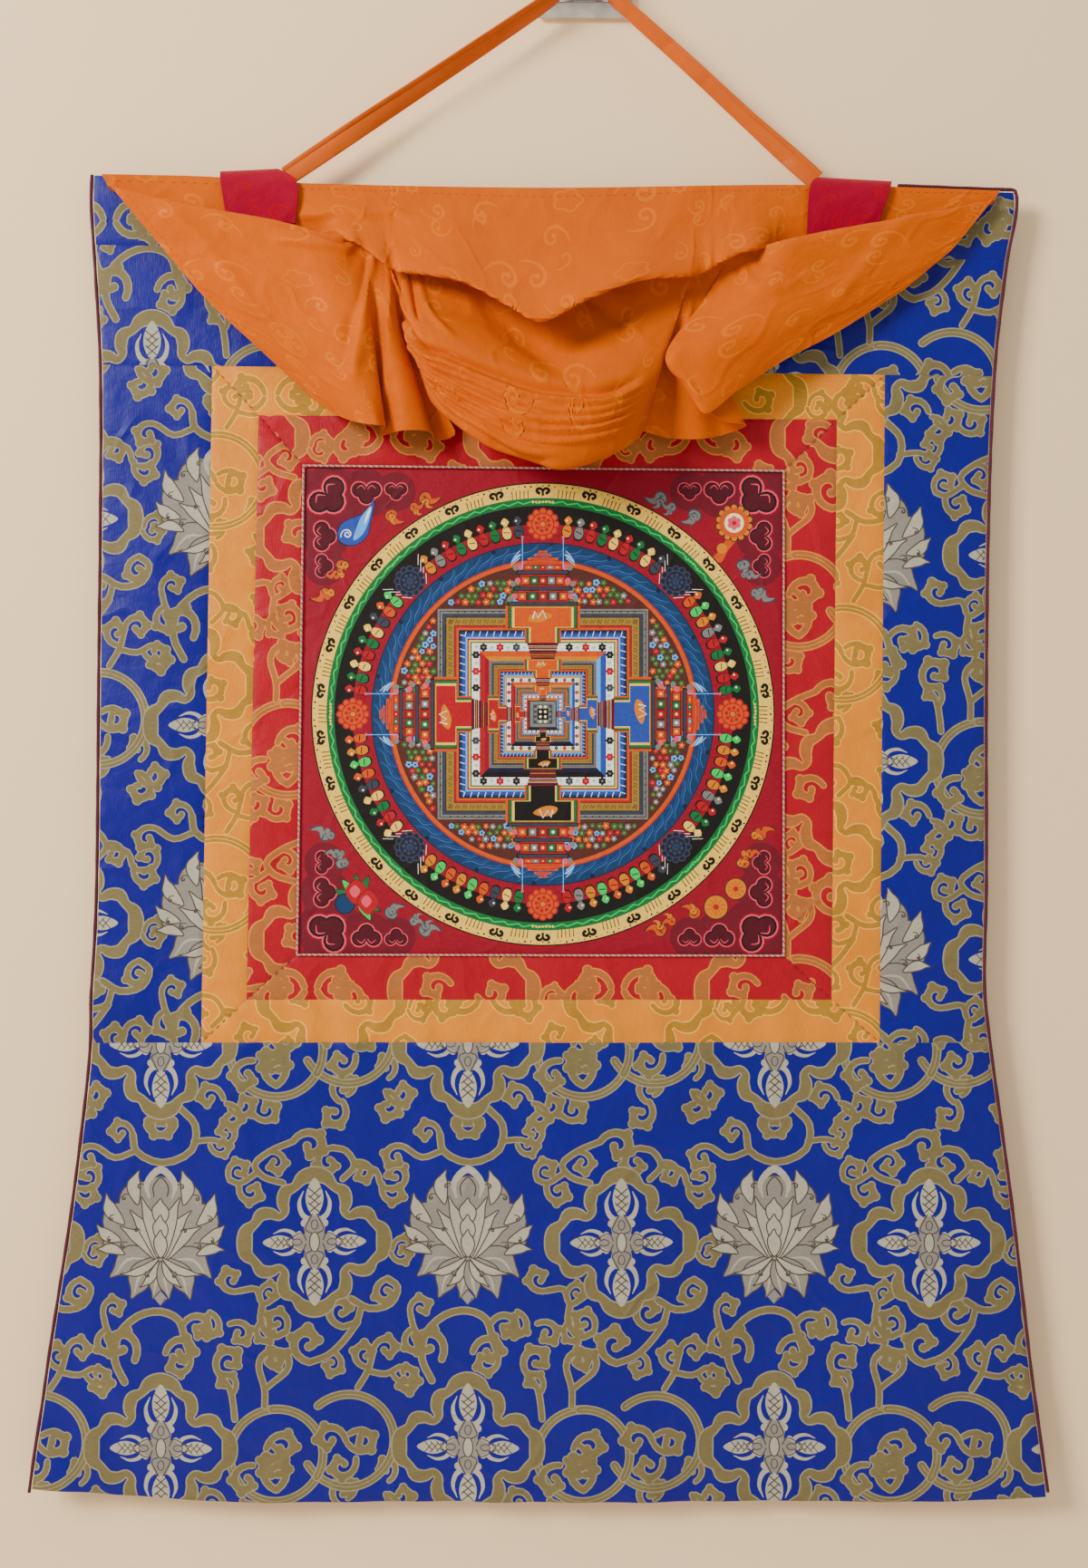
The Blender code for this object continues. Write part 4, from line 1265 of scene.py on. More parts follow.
def make_thread_group():
    """Pick a brocade's colour by the thread that lies on top."""
    wiring, given, out = new_group(
        "Brocade Threads",
        (
            ("Thread", "Float", 0.0),
            *((thread, "Color", (0.0, 0.0, 0.0)) for thread in THREAD_SOCKETS),
        ),
        (("Color", "Color"), ("Figure", "Float")),
    )
    colour = given["Ground"]
    for number, name in enumerate(THREAD_SOCKETS[1:], start=1):
        mask = wiring.maths("COMPARE", given["Thread"], float(number), 0.5)
        colour = wiring.colour_mix(mask, colour, given[name])
    wiring.feed(out["Color"], colour)
    wiring.feed(out["Figure"], wiring.maths("GREATER_THAN", given["Thread"], 0.5))


def make_weave_group():
    """Fine threads: satin lines along the ground and broken floats across a figure."""
    wiring, given, out = new_group(
        "Woven Threads",
        (("Flat", "Vector", None), ("Figure", "Float", 0.0), ("Fineness", "Float", 1.0)),
        (("Height", "Float"), ("Shade", "Float")),
    )
    scaled = wiring.add("ShaderNodeVectorMath", {0: given["Flat"]}, operation="SCALE")
    wiring.feed(scaled.inputs["Scale"], given["Fineness"])
    flat = scaled.outputs[0]
    ground = wiring.noise(wiring.stretched(flat, 1700.0, 160.0), 1.0, 2.0)
    floats = wiring.noise(wiring.stretched(flat, 190.0, 1500.0), 1.0, 2.0)
    turned = wiring.add("ShaderNodeMapping", {"Vector": flat, "Rotation": (0.0, 0.0, 0.6)}).outputs[0]
    twill = wiring.noise(wiring.stretched(turned, 260.0, 1300.0), 1.0, 1.0)
    figure = wiring.maths("MULTIPLY_ADD", twill, 0.45, wiring.maths("MULTIPLY", floats, 0.55))
    height = wiring.number_mix(given["Figure"], ground, figure)
    wiring.feed(out["Height"], height)
    wiring.feed(out["Shade"], wiring.ranged(height, 0.25, 0.75, -1.0, 1.0))


def make_crumple_group():
    """Soft dents and faint creases of handled cloth, and a painted shade that is lighter on the dents' rises
    and darker in their hollows.
    """
    wiring, given, out = new_group(
        "Handled Cloth",
        (("Flat", "Vector", None), ("Size", "Float", 30.0)),
        (("Height", "Float"), ("Wear", "Float")),
    )
    sway = wiring.add("ShaderNodeTexNoise", {"Vector": given["Flat"], "Scale": 18.0, "Detail": 2.0})
    values = {0: sway.outputs["Color"], 1: (0.02, 0.02, 0.0), 2: given["Flat"]}
    bent = wiring.add("ShaderNodeVectorMath", values, operation="MULTIPLY_ADD")
    dents = wiring.add("ShaderNodeTexNoise", {"Vector": bent.outputs[0], "Detail": 4.0, "Roughness": 0.55})
    wiring.feed(dents.inputs["Scale"], given["Size"])
    crease = wiring.add("ShaderNodeTexNoise", {"Vector": bent.outputs[0], "Detail": 1.0})
    wiring.feed(crease.inputs["Scale"], wiring.maths("MULTIPLY", given["Size"], 0.6))
    ridge = wiring.maths("ABSOLUTE", wiring.maths("SUBTRACT", crease.outputs["Fac"], 0.5))
    sharp = wiring.ranged(ridge, 0.0, 0.05, 1.0, 0.0)
    height = wiring.maths("MULTIPLY_ADD", sharp, 0.22, dents.outputs["Fac"])
    wiring.feed(out["Height"], height)
    # This output is a painted shade: the dents' own noise, so colour fed by it is lighter on their rises and
    # darker in their hollows.
    wiring.feed(out["Wear"], wiring.ranged(dents.outputs["Fac"], 0.35, 0.68, 0.0, 1.0))


def make_yarn_group():
    """Slanting strands of a twisted thread."""
    wiring, given, out = new_group(
        "Twisted Yarn",
        (("Place", "Vector", None), ("Strands", "Float", 900.0)),
        (("Height", "Float"), ("Shade", "Float")),
    )
    parts = wiring.add("ShaderNodeSeparateXYZ", {0: given["Place"]}).outputs
    slant = wiring.maths("ADD", parts[0], wiring.maths("ADD", parts[1], parts[2]))
    turns = wiring.maths("MULTIPLY", given["Strands"], math.tau)
    wave = wiring.maths("SINE", wiring.maths("MULTIPLY", slant, turns))
    fuzz = wiring.noise(given["Place"], 1400.0, 2.0)
    wiring.feed(out["Height"], wiring.maths("MULTIPLY_ADD", wave, 0.3, fuzz))
    wiring.feed(out["Shade"], wiring.ranged(wave, -1.0, 1.0, -1.0, 1.0))


class Finish:
    """A material that is being made."""

    def __init__(self, name, roughness, metallic=0.0, **constants):
        self.material = bpy.data.materials.new(name)
        self.material.use_nodes = True
        self.wiring = Wiring(self.material.node_tree)
        self.shader = self.material.node_tree.nodes["Principled BSDF"]
        self.shader.inputs["Roughness"].default_value = roughness
        self.shader.inputs["Metallic"].default_value = metallic
        for socket, value in constants.items():
            self.shader.inputs[socket.replace("_", " ")].default_value = value

    def attribute(self, name, output="Fac"):
        """A value kept on the mesh."""
        return self.wiring.add("ShaderNodeAttribute", attribute_name=name).outputs[output]

    def set(self, socket, value):
        """Feed one of the shader's sockets."""
        self.wiring.feed(self.shader.inputs[socket], value)

    def shaded(self, colour, shade, depth):
        """A colour made lighter and darker by a shade from -1 to 1."""
        factor = self.wiring.maths("MULTIPLY_ADD", shade, depth, 1.0)
        both = self.wiring.add("ShaderNodeCombineXYZ", {0: factor, 1: factor, 2: factor}).outputs[0]
        return self.wiring.colour_mix(1.0, colour, both, "MULTIPLY")

    def bumps(self, *layers):
        """Stack bumps of a height and a depth in metres."""
        normal = None
        for height, depth in layers:
            values = {"Height": height, "Distance": depth, "Strength": 1.0}
            if normal is not None:
                values["Normal"] = normal
            normal = self.wiring.add("ShaderNodeBump", values).outputs[0]
        self.set("Normal", normal)
        return self.material


def brocade(name, colours, roughness, figure_roughness):
    """A patterned brocade: satin ground with floats over it."""
    finish = Finish(name, roughness, Specular_IOR_Level=0.22, Sheen_Weight=0.02, Sheen_Roughness=0.4)
    wiring = finish.wiring
    flat = finish.attribute("flat", "Vector")
    values = dict(zip(THREAD_SOCKETS, colours))
    values["Thread"] = finish.attribute("thread")
    threads = wiring.group("Brocade Threads", values)
    weave = wiring.group("Woven Threads", {"Flat": flat, "Figure": threads["Figure"], "Fineness": 1.0})
    dented = wiring.group("Handled Cloth", {"Flat": flat, "Size": 26.0})
    deep = wiring.maths("MULTIPLY_ADD", threads["Figure"], 0.13, 0.07)
    colour = finish.shaded(threads["Color"], wiring.maths("MULTIPLY", weave["Shade"], deep), 1.0)
    # Painted shade of the dents: lighter on their rises, darker in their hollows.
    colour = finish.shaded(colour, wiring.ranged(dented["Wear"], 0.0, 1.0, -1.0, 1.0), 0.06)
    finish.set("Base Color", colour)
    rough = wiring.number_mix(threads["Figure"], roughness, figure_roughness)
    finish.set("Roughness", wiring.maths("MULTIPLY_ADD", weave["Shade"], 0.08, rough))
    return finish.bumps((dented["Height"], 0.0022), (threads["Figure"], 0.00012), (weave["Height"], 0.00016))


def plain_cloth(name, colour, other, roughness, depth=0.1, bump=0.00018, size=26.0):
    """A plainly woven cloth, mottled between two colours."""
    finish = Finish(name, roughness, Specular_IOR_Level=0.2, Sheen_Weight=0.03, Sheen_Roughness=0.5)
    wiring = finish.wiring
    flat = finish.attribute("flat", "Vector")
    weave = wiring.group("Woven Threads", {"Flat": flat, "Figure": 0.5, "Fineness": 0.8})
    dented = wiring.group("Handled Cloth", {"Flat": flat, "Size": size})
    colour = wiring.colour_mix(wiring.ranged(weave["Shade"], -0.6, 0.9, 0.0, 0.8), colour, other)
    # Painted shade of the dents: lighter on their rises, darker in their hollows.
    colour = finish.shaded(colour, wiring.ranged(dented["Wear"], 0.0, 1.0, -1.0, 1.0), depth)
    finish.set("Base Color", colour)
    finish.set("Roughness", wiring.maths("MULTIPLY_ADD", dented["Wear"], 0.12, roughness - 0.05))
    return finish.bumps((dented["Height"], 0.0020), (weave["Height"], bump))


def silk(name, colour, figure_sheen_colour, roughness):
    """Damask silk: the same thread lies across in the figure, so it shines another way; the figure is also
    painted in a second colour, a painted sheen.
    """
    finish = Finish(name, roughness, Specular_IOR_Level=0.3, Sheen_Weight=0.03, Sheen_Roughness=0.35)
    finish.shader.inputs["Sheen Tint"].default_value = (*figure_sheen_colour, 1.0)
    finish.shader.inputs["Specular Tint"].default_value = (*figure_sheen_colour, 1.0)
    wiring = finish.wiring
    flat = finish.attribute("flat", "Vector")
    figure = wiring.maths("GREATER_THAN", finish.attribute("thread"), 0.5)
    weave = wiring.group("Woven Threads", {"Flat": flat, "Figure": figure, "Fineness": 1.3})
    dented = wiring.group("Handled Cloth", {"Flat": flat, "Size": 34.0})
    # Painted sheen: the damask figure gets its own colour, standing in for the other way its thread shines.
    mixed = wiring.colour_mix(figure, colour, figure_sheen_colour)
    mixed = finish.shaded(mixed, weave["Shade"], 0.05)
    # Painted shade of the dents: lighter on their rises, darker in their hollows.
    mixed = finish.shaded(mixed, wiring.ranged(dented["Wear"], 0.0, 1.0, -1.0, 1.0), 0.06)
    finish.set("Base Color", mixed)
    rough = wiring.maths("MULTIPLY_ADD", figure, -0.13, roughness)
    finish.set("Roughness", wiring.maths("MULTIPLY_ADD", weave["Shade"], 0.05, rough))
    return finish.bumps((dented["Height"], 0.0015), (figure, 0.00008), (weave["Height"], 0.00009))


def painted_canvas():
    """Opaque mineral paint on sized cotton."""
    finish = Finish("painted_canvas", 0.62, Specular_IOR_Level=0.2)
    wiring = finish.wiring
    flat = finish.attribute("flat", "Vector")
    paint = finish.attribute("paint", "Color")
    dented = wiring.group("Handled Cloth", {"Flat": flat, "Size": 40.0})
    weave = wiring.group("Woven Threads", {"Flat": flat, "Figure": 0.5, "Fineness": 1.1})
    brush = wiring.noise(wiring.stretched(flat, 420.0, 520.0), 1.0, 4.0, 0.6)
    colour = finish.shaded(paint, wiring.ranged(brush, 0.3, 0.7, -1.0, 1.0), 0.12)
    colour = finish.shaded(colour, weave["Shade"], 0.05)
    finish.set("Base Color", colour)
    finish.set("Roughness", wiring.ranged(brush, 0.3, 0.7, 0.52, 0.72))
    return finish.bumps((dented["Height"], 0.0012), (brush, 0.00012), (weave["Height"], 0.00012))


def yarn(name, colour, dark, strands=420.0):
    """A twisted or wrapped thread."""
    finish = Finish(name, 0.62, Specular_IOR_Level=0.25, Sheen_Weight=0.2)
    wiring = finish.wiring
    place = wiring.add("ShaderNodeTexCoord").outputs["Object"]
    twist = wiring.group("Twisted Yarn", {"Place": place, "Strands": strands})
    fuzz = wiring.noise(place, 90.0, 3.0)
    mixed = wiring.colour_mix(wiring.ranged(twist["Shade"], -1.0, 1.0, 0.0, 0.85), dark, colour)
    mixed = wiring.colour_mix(wiring.ranged(fuzz, 0.35, 0.7, 0.0, 0.4), mixed, dark)
    finish.set("Base Color", mixed)
    finish.set("Roughness", wiring.ranged(fuzz, 0.3, 0.7, 0.5, 0.75))
    return finish.bumps((twist["Height"], 0.00025))


def steel():
    """Brushed and lightly scratched plated steel."""
    finish = Finish("brushed_steel", 0.22, 1.0)
    wiring = finish.wiring
    place = wiring.add("ShaderNodeTexCoord").outputs["Object"]
    brushed = wiring.noise(wiring.stretched(place, 60.0, 900.0, 2600.0), 1.0, 3.0)
    smear = wiring.noise(place, 110.0, 4.0)
    colour = wiring.colour_mix(wiring.ranged(smear, 0.35, 0.7), (0.70, 0.69, 0.66), (0.50, 0.49, 0.47))
    finish.set("Base Color", colour)
    both = wiring.maths("MULTIPLY_ADD", brushed, 0.10, wiring.ranged(smear, 0.3, 0.75, 0.10, 0.26))
    finish.set("Roughness", both)
    return finish.bumps((brushed, 0.00003))


# ---------------------------------------------------------------- settings


def colour_setting(name, description, code):
    """A colour that a user may change."""
    return bpy.props.FloatVectorProperty(
        name=name, description=description, subtype="COLOR", size=3, min=0.0, max=1.0, default=hue(code)
    )


def size_setting(name, description, value):
    """A size that a user may change."""
    return bpy.props.FloatProperty(
        name=name, description=description, default=value * MM, min=0.0, subtype="DISTANCE", unit="LENGTH",
        precision=5,
    )


class ThangkaSizes(bpy.types.PropertyGroup):
    """Sizes of the cloth and its trimmings."""

    cloth: size_setting("Cloth", "Thickness of the brocade and the tabs", 1.2)
    canvas: size_setting("Canvas", "Thickness of the painted canvas", 1.0)
    cell: size_setting("Cell", "Largest step of the brocade's mesh", 8.0)
    veil: size_setting("Veil", "Thickness of the silk", 0.8)
    veil_cell: size_setting("Veil Cell", "Largest step of the veil's mesh", 1.55)
    ribbon_width: size_setting("Ribbon Width", "Width of the hanging ribbon", 12.0)
    ribbon_thickness: size_setting("Ribbon Thickness", "Thickness of the folded ribbon", 1.5)
    binding: size_setting("Binding", "Radius of the piping down the sides", 1.1)
    edge_cord: size_setting("Edge Cord", "Radius of the twisted cord round the painting", 0.7)
    stitch: size_setting("Stitch", "Length of one stitch", 2.6)
    thread: size_setting("Thread", "Radius of the sewing thread", 0.22)


class ThangkaColours(bpy.types.PropertyGroup):
    """Colours of the cloth, thread and metal."""

    blue: colour_setting("Blue Ground", "Satin ground of the blue brocade", "#10067C")
    khaki: colour_setting("Khaki Scroll", "Scrolls of the blue brocade", "#726742")
    pale_khaki: colour_setting("Pale Outline", "Outline of the scrolls", "#8F896C")
    silver: colour_setting("Silver Float", "Lotus and cross of the blue brocade", "#868077")
    silver_line: colour_setting("Silver Line", "Lines drawn in the silver", "#453C36")
    silver_light: colour_setting("Silver Light", "Brightest silver thread", "#A8A492")
    amber: colour_setting("Amber Ground", "Ground of the outer frame", "#DE8410")
    amber_scroll: colour_setting("Amber Scroll", "Scrolls of the outer frame", "#A97920")
    amber_outline: colour_setting("Amber Outline", "Outline of the outer frame's scrolls", "#F4AC38")
    red: colour_setting("Red Ground", "Ground of the inner frame", "#A5041C")
    red_scroll: colour_setting("Red Scroll", "Scrolls of the inner frame", "#A5612C")
    red_outline: colour_setting("Red Outline", "Outline of the inner frame's scrolls", "#D58230")
    orange: colour_setting("Orange Silk", "Ground of the veil", "#C75802")
    # The veil's damask figure colour is a painted sheen on the same silk thread.
    orange_figure: colour_setting("Orange Figure", "Damask figure of the veil", "#D0680A")
    ribbon: colour_setting("Ribbon", "Hanging ribbon", "#C65803")
    crimson: colour_setting("Crimson", "Tabs that hold the ribbon", "#950A2B")
    maroon: colour_setting("Maroon", "Piping down the sides", "#661431")
    cream: colour_setting("Cream", "Twisted cord round the painting", "#F2CDB0")


# ---------------------------------------------------------------- outlines of the cut pieces


def sampled(outline, step):
    """The outline with a corner at least every step."""
    points = []
    for start, end in zip(outline, np.roll(outline, -1, axis=0)):
        count = max(int(math.ceil(np.linalg.norm(end - start) / step)), 1)
        points.extend(mix(start, end, place / count) for place in range(count))
    return np.array(points)


class Panel:
    """A panel between two side lines and two cross lines, cut half a seam in from each."""

    def __init__(self, left, right, top, bottom):
        self.left, self.right, self.top, self.bottom = left, right, top, bottom

    def corner(self, side, cross, right, up):
        """Where a side line and a cross line meet, moved in."""
        height = -500.0
        for _ in range(6):
            across = float(side(height)) + right
            height = float(cross(across)) + up
        return np.array((across, height))

    def outline(self, step, inset=HALF_SEAM):
        """The outline, with a corner at every step."""
        top_left = self.corner(self.left, self.top, inset, -inset)
        top_right = self.corner(self.right, self.top, -inset, -inset)
        bottom_left = self.corner(self.left, self.bottom, inset, inset)
        bottom_right = self.corner(self.right, self.bottom, -inset, inset)

        def shares(start, end):
            return np.linspace(0, 1, max(int(np.linalg.norm(end - start) / step), 2))[:-1]

        across = mix(top_left[0], top_right[0], shares(top_left, top_right))
        height = mix(top_right[1], bottom_right[1], shares(top_right, bottom_right))
        back = mix(bottom_right[0], bottom_left[0], shares(bottom_right, bottom_left))
        rise = mix(bottom_left[1], top_left[1], shares(bottom_left, top_left))
        return np.concatenate([
            np.stack([across, self.top(across) - inset], axis=1),
            np.stack([self.right(height) - inset, height], axis=1),
            np.stack([back, self.bottom(back) + inset], axis=1),
            np.stack([self.left(rise) + inset, rise], axis=1),
        ])

    def depth(self, flat):
        """How far each spot is from the nearest edge."""
        across, height = flat[:, 0], flat[:, 1]
        sides = np.minimum(across - self.left(height), self.right(height) - across)
        return np.minimum(sides, np.minimum(self.top(across) - height, height - self.bottom(across)))


class Quad:
    """A piece cut between four corners, half a seam in from each side."""

    def __init__(self, top_left, top_right, bottom_left, bottom_right):
        self.corners = np.array((top_left, bottom_left, bottom_right, top_right), float)

    def outline(self, step, inset=HALF_SEAM):
        """The outline, with a corner at every step."""
        lines = []
        for start, end in zip(self.corners, np.roll(self.corners, -1, axis=0)):
            along = (end - start) / np.linalg.norm(end - start)
            inward = np.array((-along[1], along[0]))
            lines.append((start + inward * inset, along))
        cut = []
        for (start, along), (other, way) in zip([lines[-1]] + lines[:-1], lines):
            reach = np.linalg.solve(np.stack([along, -way], axis=1), other - start)[0]
            cut.append(start + along * reach)
        return sampled(np.array(cut), step)

    def depth(self, flat):
        """How far each spot is from the nearest edge."""
        far = np.full(len(flat), 1e9)
        for start, end in zip(self.corners, np.roll(self.corners, -1, axis=0)):
            along = (end - start) / np.linalg.norm(end - start)
            far = np.minimum(far, (flat - start) @ np.array((-along[1], along[0])))
        return far


SEAM_ROLL, SEAM_SOFTNESS = 0.55, 1.3


def seamed_place(piece):
    """Places on the scroll that roll back a little at the piece's seams."""
    def place(flat):
        roll = SEAM_ROLL * np.exp(-((piece.depth(flat) / SEAM_SOFTNESS) ** 2))
        return on_scroll(flat, -roll)
    return place


def side_line(side):
    """The scroll's outer line on one side."""
    return lambda height: read(EDGES, "height", side, height)


def cross_line(table):
    """A line right across the scroll."""
    return lambda across: level(table, across)


def frame_line(high, low):
    """The straight line between two corners, as a place across for each height."""
    return lambda height: mix(high[0], low[0], (height - high[1]) / (low[1] - high[1]))


def frame_quads(outer, inner):
    """The four mitred strips between two sets of corners."""
    return {
        "top": Quad(outer.top_left, outer.top_right, inner.top_left, inner.top_right),
        "bottom": Quad(inner.bottom_left, inner.bottom_right, outer.bottom_left, outer.bottom_right),
        "left": Quad(outer.top_left, inner.top_left, outer.bottom_left, inner.bottom_left),
        "right": Quad(inner.top_right, outer.top_right, inner.bottom_right, outer.bottom_right),
    }


def finish_sheet(thing, node, slot):
    """Hide the frame's part that a sheet stands in for."""
    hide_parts(node)


def sew_brocade(node, piece, slot, origin, materials, sizes, figured=True):
    """Cut one piece of brocade and sew it in, with a quatrefoil at its origin."""
    outline = piece.outline(sizes.cell * 0.7)
    near_seams = [piece.outline(sizes.cell * 0.7, inset) for inset in (1.0, 2.4)]
    cut = cut_cloth(outline, brocade_over(outline, *origin, figured), sizes.cell, near_seams)
    thing = lay_cloth(f"{node}_cloth", cut, seamed_place(piece), sizes.cloth, materials)
    finish_sheet(thing, node, slot)
    return thing


# ---------------------------------------------------------------- round work: cords, piping, stitches


def ring_faces(rings, sides, closed=False):
    """Faces between rings of corners, with a cap on each end unless they close up."""
    faces = []
    for ring in range(rings if closed else rings - 1):
        near, far = ring * sides, (ring + 1) % rings * sides
        for side in range(sides):
            turn = (side + 1) % sides
            faces.append((near + side, near + turn, far + turn, far + side))
    if not closed:
        faces.append(tuple(range(sides))[::-1])
        faces.append(tuple(range((rings - 1) * sides, rings * sides)))
    return faces


def tube(points, radii, sides, closed=False):
    """Corners and faces of a round tube along points, with one radius or one for each point."""
    points = np.asarray(points, float)
    if closed:
        ahead = np.roll(points, -1, axis=0) - np.roll(points, 1, axis=0)
    else:
        ahead = np.gradient(points, axis=0)
    ahead /= np.linalg.norm(ahead, axis=1, keepdims=True)
    outward = np.array((0.0, -1.0, 0.0))
    beside = np.cross(ahead, outward)
    beside /= np.maximum(np.linalg.norm(beside, axis=1, keepdims=True), 1e-9)
    lifted = np.cross(beside, ahead)
    angle = np.linspace(0, math.tau, sides, endpoint=False)
    reach = np.broadcast_to(np.asarray(radii, float).reshape(-1, 1), (len(points), sides))
    corners = (
        points[:, None]
        + beside[:, None] * (np.cos(angle) * reach)[..., None]
        + lifted[:, None] * (np.sin(angle) * reach)[..., None]
    ).reshape(-1, 3)
    return corners, ring_faces(len(points), sides, closed)


def round_piece(name, tubes, material):
    """One object made of tubes, given in millimetres."""
    corners, faces = [], []
    for spots, sides in tubes:
        first = sum(len(part) for part in corners)
        corners.append(spots)
        faces.extend(tuple(first + corner for corner in face) for face in sides)
    mesh = bpy.data.meshes.new(name)
    mesh.from_pydata((np.concatenate(corners) * MM).tolist(), [], faces)
    mesh.shade_smooth()
    mesh.set_sharp_from_angle(angle=ROUND_CREASE)
    mesh.materials.append(material)
    return add_object(name, mesh)


def stitch_row(line, place, length, gap, radius, lift):
    """Stitches along a line on the flat cloth, each a short thread with sunken ends."""
    steps = np.linalg.norm(np.diff(line, axis=0), axis=1)
    along = np.concatenate([[0.0], np.cumsum(steps)])
    made = []
    for number in range(int(along[-1] / (length + gap))):
        start = gap / 2 + number * (length + gap)
        spots = start + length * np.array((0.0, 0.2, 0.5, 0.8, 1.0))
        flat = np.stack([np.interp(spots, along, line[:, axis]) for axis in (0, 1)], axis=1)
        heights = np.array((-0.4, 0.35, 0.7, 0.35, -0.4)) * radius + lift
        radii = radius * np.array((0.5, 0.9, 1.0, 0.9, 0.5))
        made.append(tube(raised(place, flat, heights[:, None]), radii, 5))
    return made


# ---------------------------------------------------------------- the veil


def veil_lines(section):
    """The points of one section of the veil, from its seam to its hem: across, out and height."""
    wing = float(ease((section.tuck + FULL_TUCK) / (2 * FULL_TUCK)))
    pocket, behind = max(section.tuck, 0.0), max(-section.tuck, 0.0)
    seam = np.array((section.seam, VEIL_OUT, float(level(TOP_EDGE, section.seam)) - 0.4))
    rim = np.array((section.fold, mix(section.fold_out, POCKET_OUT, wing), section.fold_height - pocket))
    ridge_out = mix(BEHIND_FLAP_OUT, section.fold_out, wing)
    ridge = np.array((section.fold, ridge_out, section.fold_height + behind))
    fall = mix(seam, rim, 0.5)
    fall[1] = mix(seam[1], rim[1], mix(0.4, 0.1, wing))
    face = np.array((section.face, section.face_out, section.face_height))
    hollow = mix(ridge, face, 0.45)
    hollow[1] = mix(ridge[1], face[1], mix(0.25, 0.5, wing))
    hem = np.array((section.hem, section.hem_out, section.hem_height))
    low = mix(face, hem, mix(0.55, 1.0, min(section.turn / FULL_TURN, 1.0)))
    end = hem + np.array((0.0, -section.turn, section.turn))
    return np.array((seam, fall, rim, ridge, hollow, face, low, end), float)


def settle(rows, count, reach):
    """Even out how far the first rows stand out, from side to side and less towards the last."""
    for number in range(1, count):
        across, out = rows[number, :, 0], rows[number, :, 1]
        near = np.exp(-(((across[:, None] - across[None, :]) / reach) ** 2))
        near *= np.maximum(np.gradient(across), 0.01)
        even = near @ out / near.sum(axis=1)
        rows[number, :, 1] = mix(out, even, 1.0 - ease(number / count) ** 2)


SMOOTHINGS = 60


class Net:
    """A folded cloth: an even net of places, read from the flat cloth it was cut from."""

    def __init__(self, strands, columns, rows):
        strands = np.asarray(strands, float)
        around = np.linspace(0, len(strands) - 1, columns)
        down = np.linspace(0, strands.shape[1] - 1, rows)
        loose = run_through(run_through(strands, around).transpose(1, 0, 2), down)
        settle(loose, int(rows * 2 / (strands.shape[1] - 1)), SETTLE_REACH)
        lengths = np.cumsum(np.linalg.norm(np.diff(loose, axis=0), axis=2), axis=0)
        lengths = np.concatenate([np.zeros((1, columns)), lengths])
        self.tall = float(lengths[-1].mean())
        shares = lengths / lengths[-1]
        evenly = np.linspace(0, 1, rows)
        strung = np.empty_like(loose)
        for column in range(columns):
            for axis in range(3):
                strung[:, column, axis] = np.interp(evenly, shares[:, column], loose[:, column, axis])
        gaps = np.linalg.norm(np.diff(strung, axis=1), axis=2).mean(axis=0)
        places = np.concatenate([[0.0], np.cumsum(gaps)])
        self.wide = float(places[-1])
        self.knots = np.empty_like(strung)
        for row in range(rows):
            for axis in range(3):
                spots = np.linspace(0, self.wide, columns)
                self.knots[row, :, axis] = np.interp(spots, places, strung[row, :, axis])
        self.columns, self.rows = columns, rows

    def square(self):
        """Directions square to the net, towards the viewer where the cloth hangs straight."""
        right, down = np.gradient(self.knots, axis=1), np.gradient(self.knots, axis=0)
        square = np.cross(right, down)
        return square / np.maximum(np.linalg.norm(square, axis=2, keepdims=True), 1e-9)

    def smoothed(self):
        """The net's square directions, with its tight corners evened out."""
        square = self.square()
        for _ in range(SMOOTHINGS):
            padded = np.pad(square, ((1, 1), (1, 1), (0, 0)), mode="edge")
            square = (padded[:-2, 1:-1] + padded[2:, 1:-1] + padded[1:-1, :-2] + padded[1:-1, 2:]) / 4
        return square / np.maximum(np.linalg.norm(square, axis=2, keepdims=True), 1e-9)

    def crease(self, path, wide, deep, square):
        """Raise or sink the net along a line on the flat cloth, in the directions given."""
        across = np.linspace(0, self.wide, self.columns)[None, :]
        height = -np.linspace(0, self.tall, self.rows)[:, None]
        nearest = np.full((self.rows, self.columns), 1e9)
        share = np.zeros_like(nearest)
        for number, (start, end) in enumerate(zip(path, path[1:])):
            along = end - start
            right, up = across - start[0], height - start[1]
            reach = np.clip((right * along[0] + up * along[1]) / max(along @ along, 1e-9), 0, 1)
            far = np.hypot(right - along[0] * reach, up - along[1] * reach)
            closer = far < nearest
            nearest = np.where(closer, far, nearest)
            share = np.where(closer, (number + reach) / (len(path) - 1), share)
        fade = ease(np.minimum(share, 1 - share) * 5)
        self.knots += square * (deep * fade * np.exp(-((nearest / wide) ** 2)))[..., None]

    def outline(self, step, inset=0.0):
        """The cloth's flat outline, with a corner at every step."""
        far, low = self.wide - inset, inset - self.tall
        return sampled(np.array(((inset, -inset), (inset, low), (far, low), (far, -inset))), step)

    def place(self, flat):
        """Places of flat spots, with out counted towards the viewer."""
        column = np.clip(flat[:, 0] / self.wide, 0, 1) * (self.columns - 1)
        row = np.clip(-flat[:, 1] / self.tall, 0, 1) * (self.rows - 1)
        left = np.clip(column.astype(int), 0, self.columns - 2)
        top = np.clip(row.astype(int), 0, self.rows - 2)
        right_share, down_share = (column - left)[:, None], (row - top)[:, None]
        upper = mix(self.knots[top, left], self.knots[top, left + 1], right_share)
        lower = mix(self.knots[top + 1, left], self.knots[top + 1, left + 1], right_share)
        spots = mix(upper, lower, down_share)
        return np.stack([spots[:, 0], -spots[:, 1], spots[:, 2]], axis=1)


DAMASK_WIDE, DAMASK_TALL = 78.0, 88.0

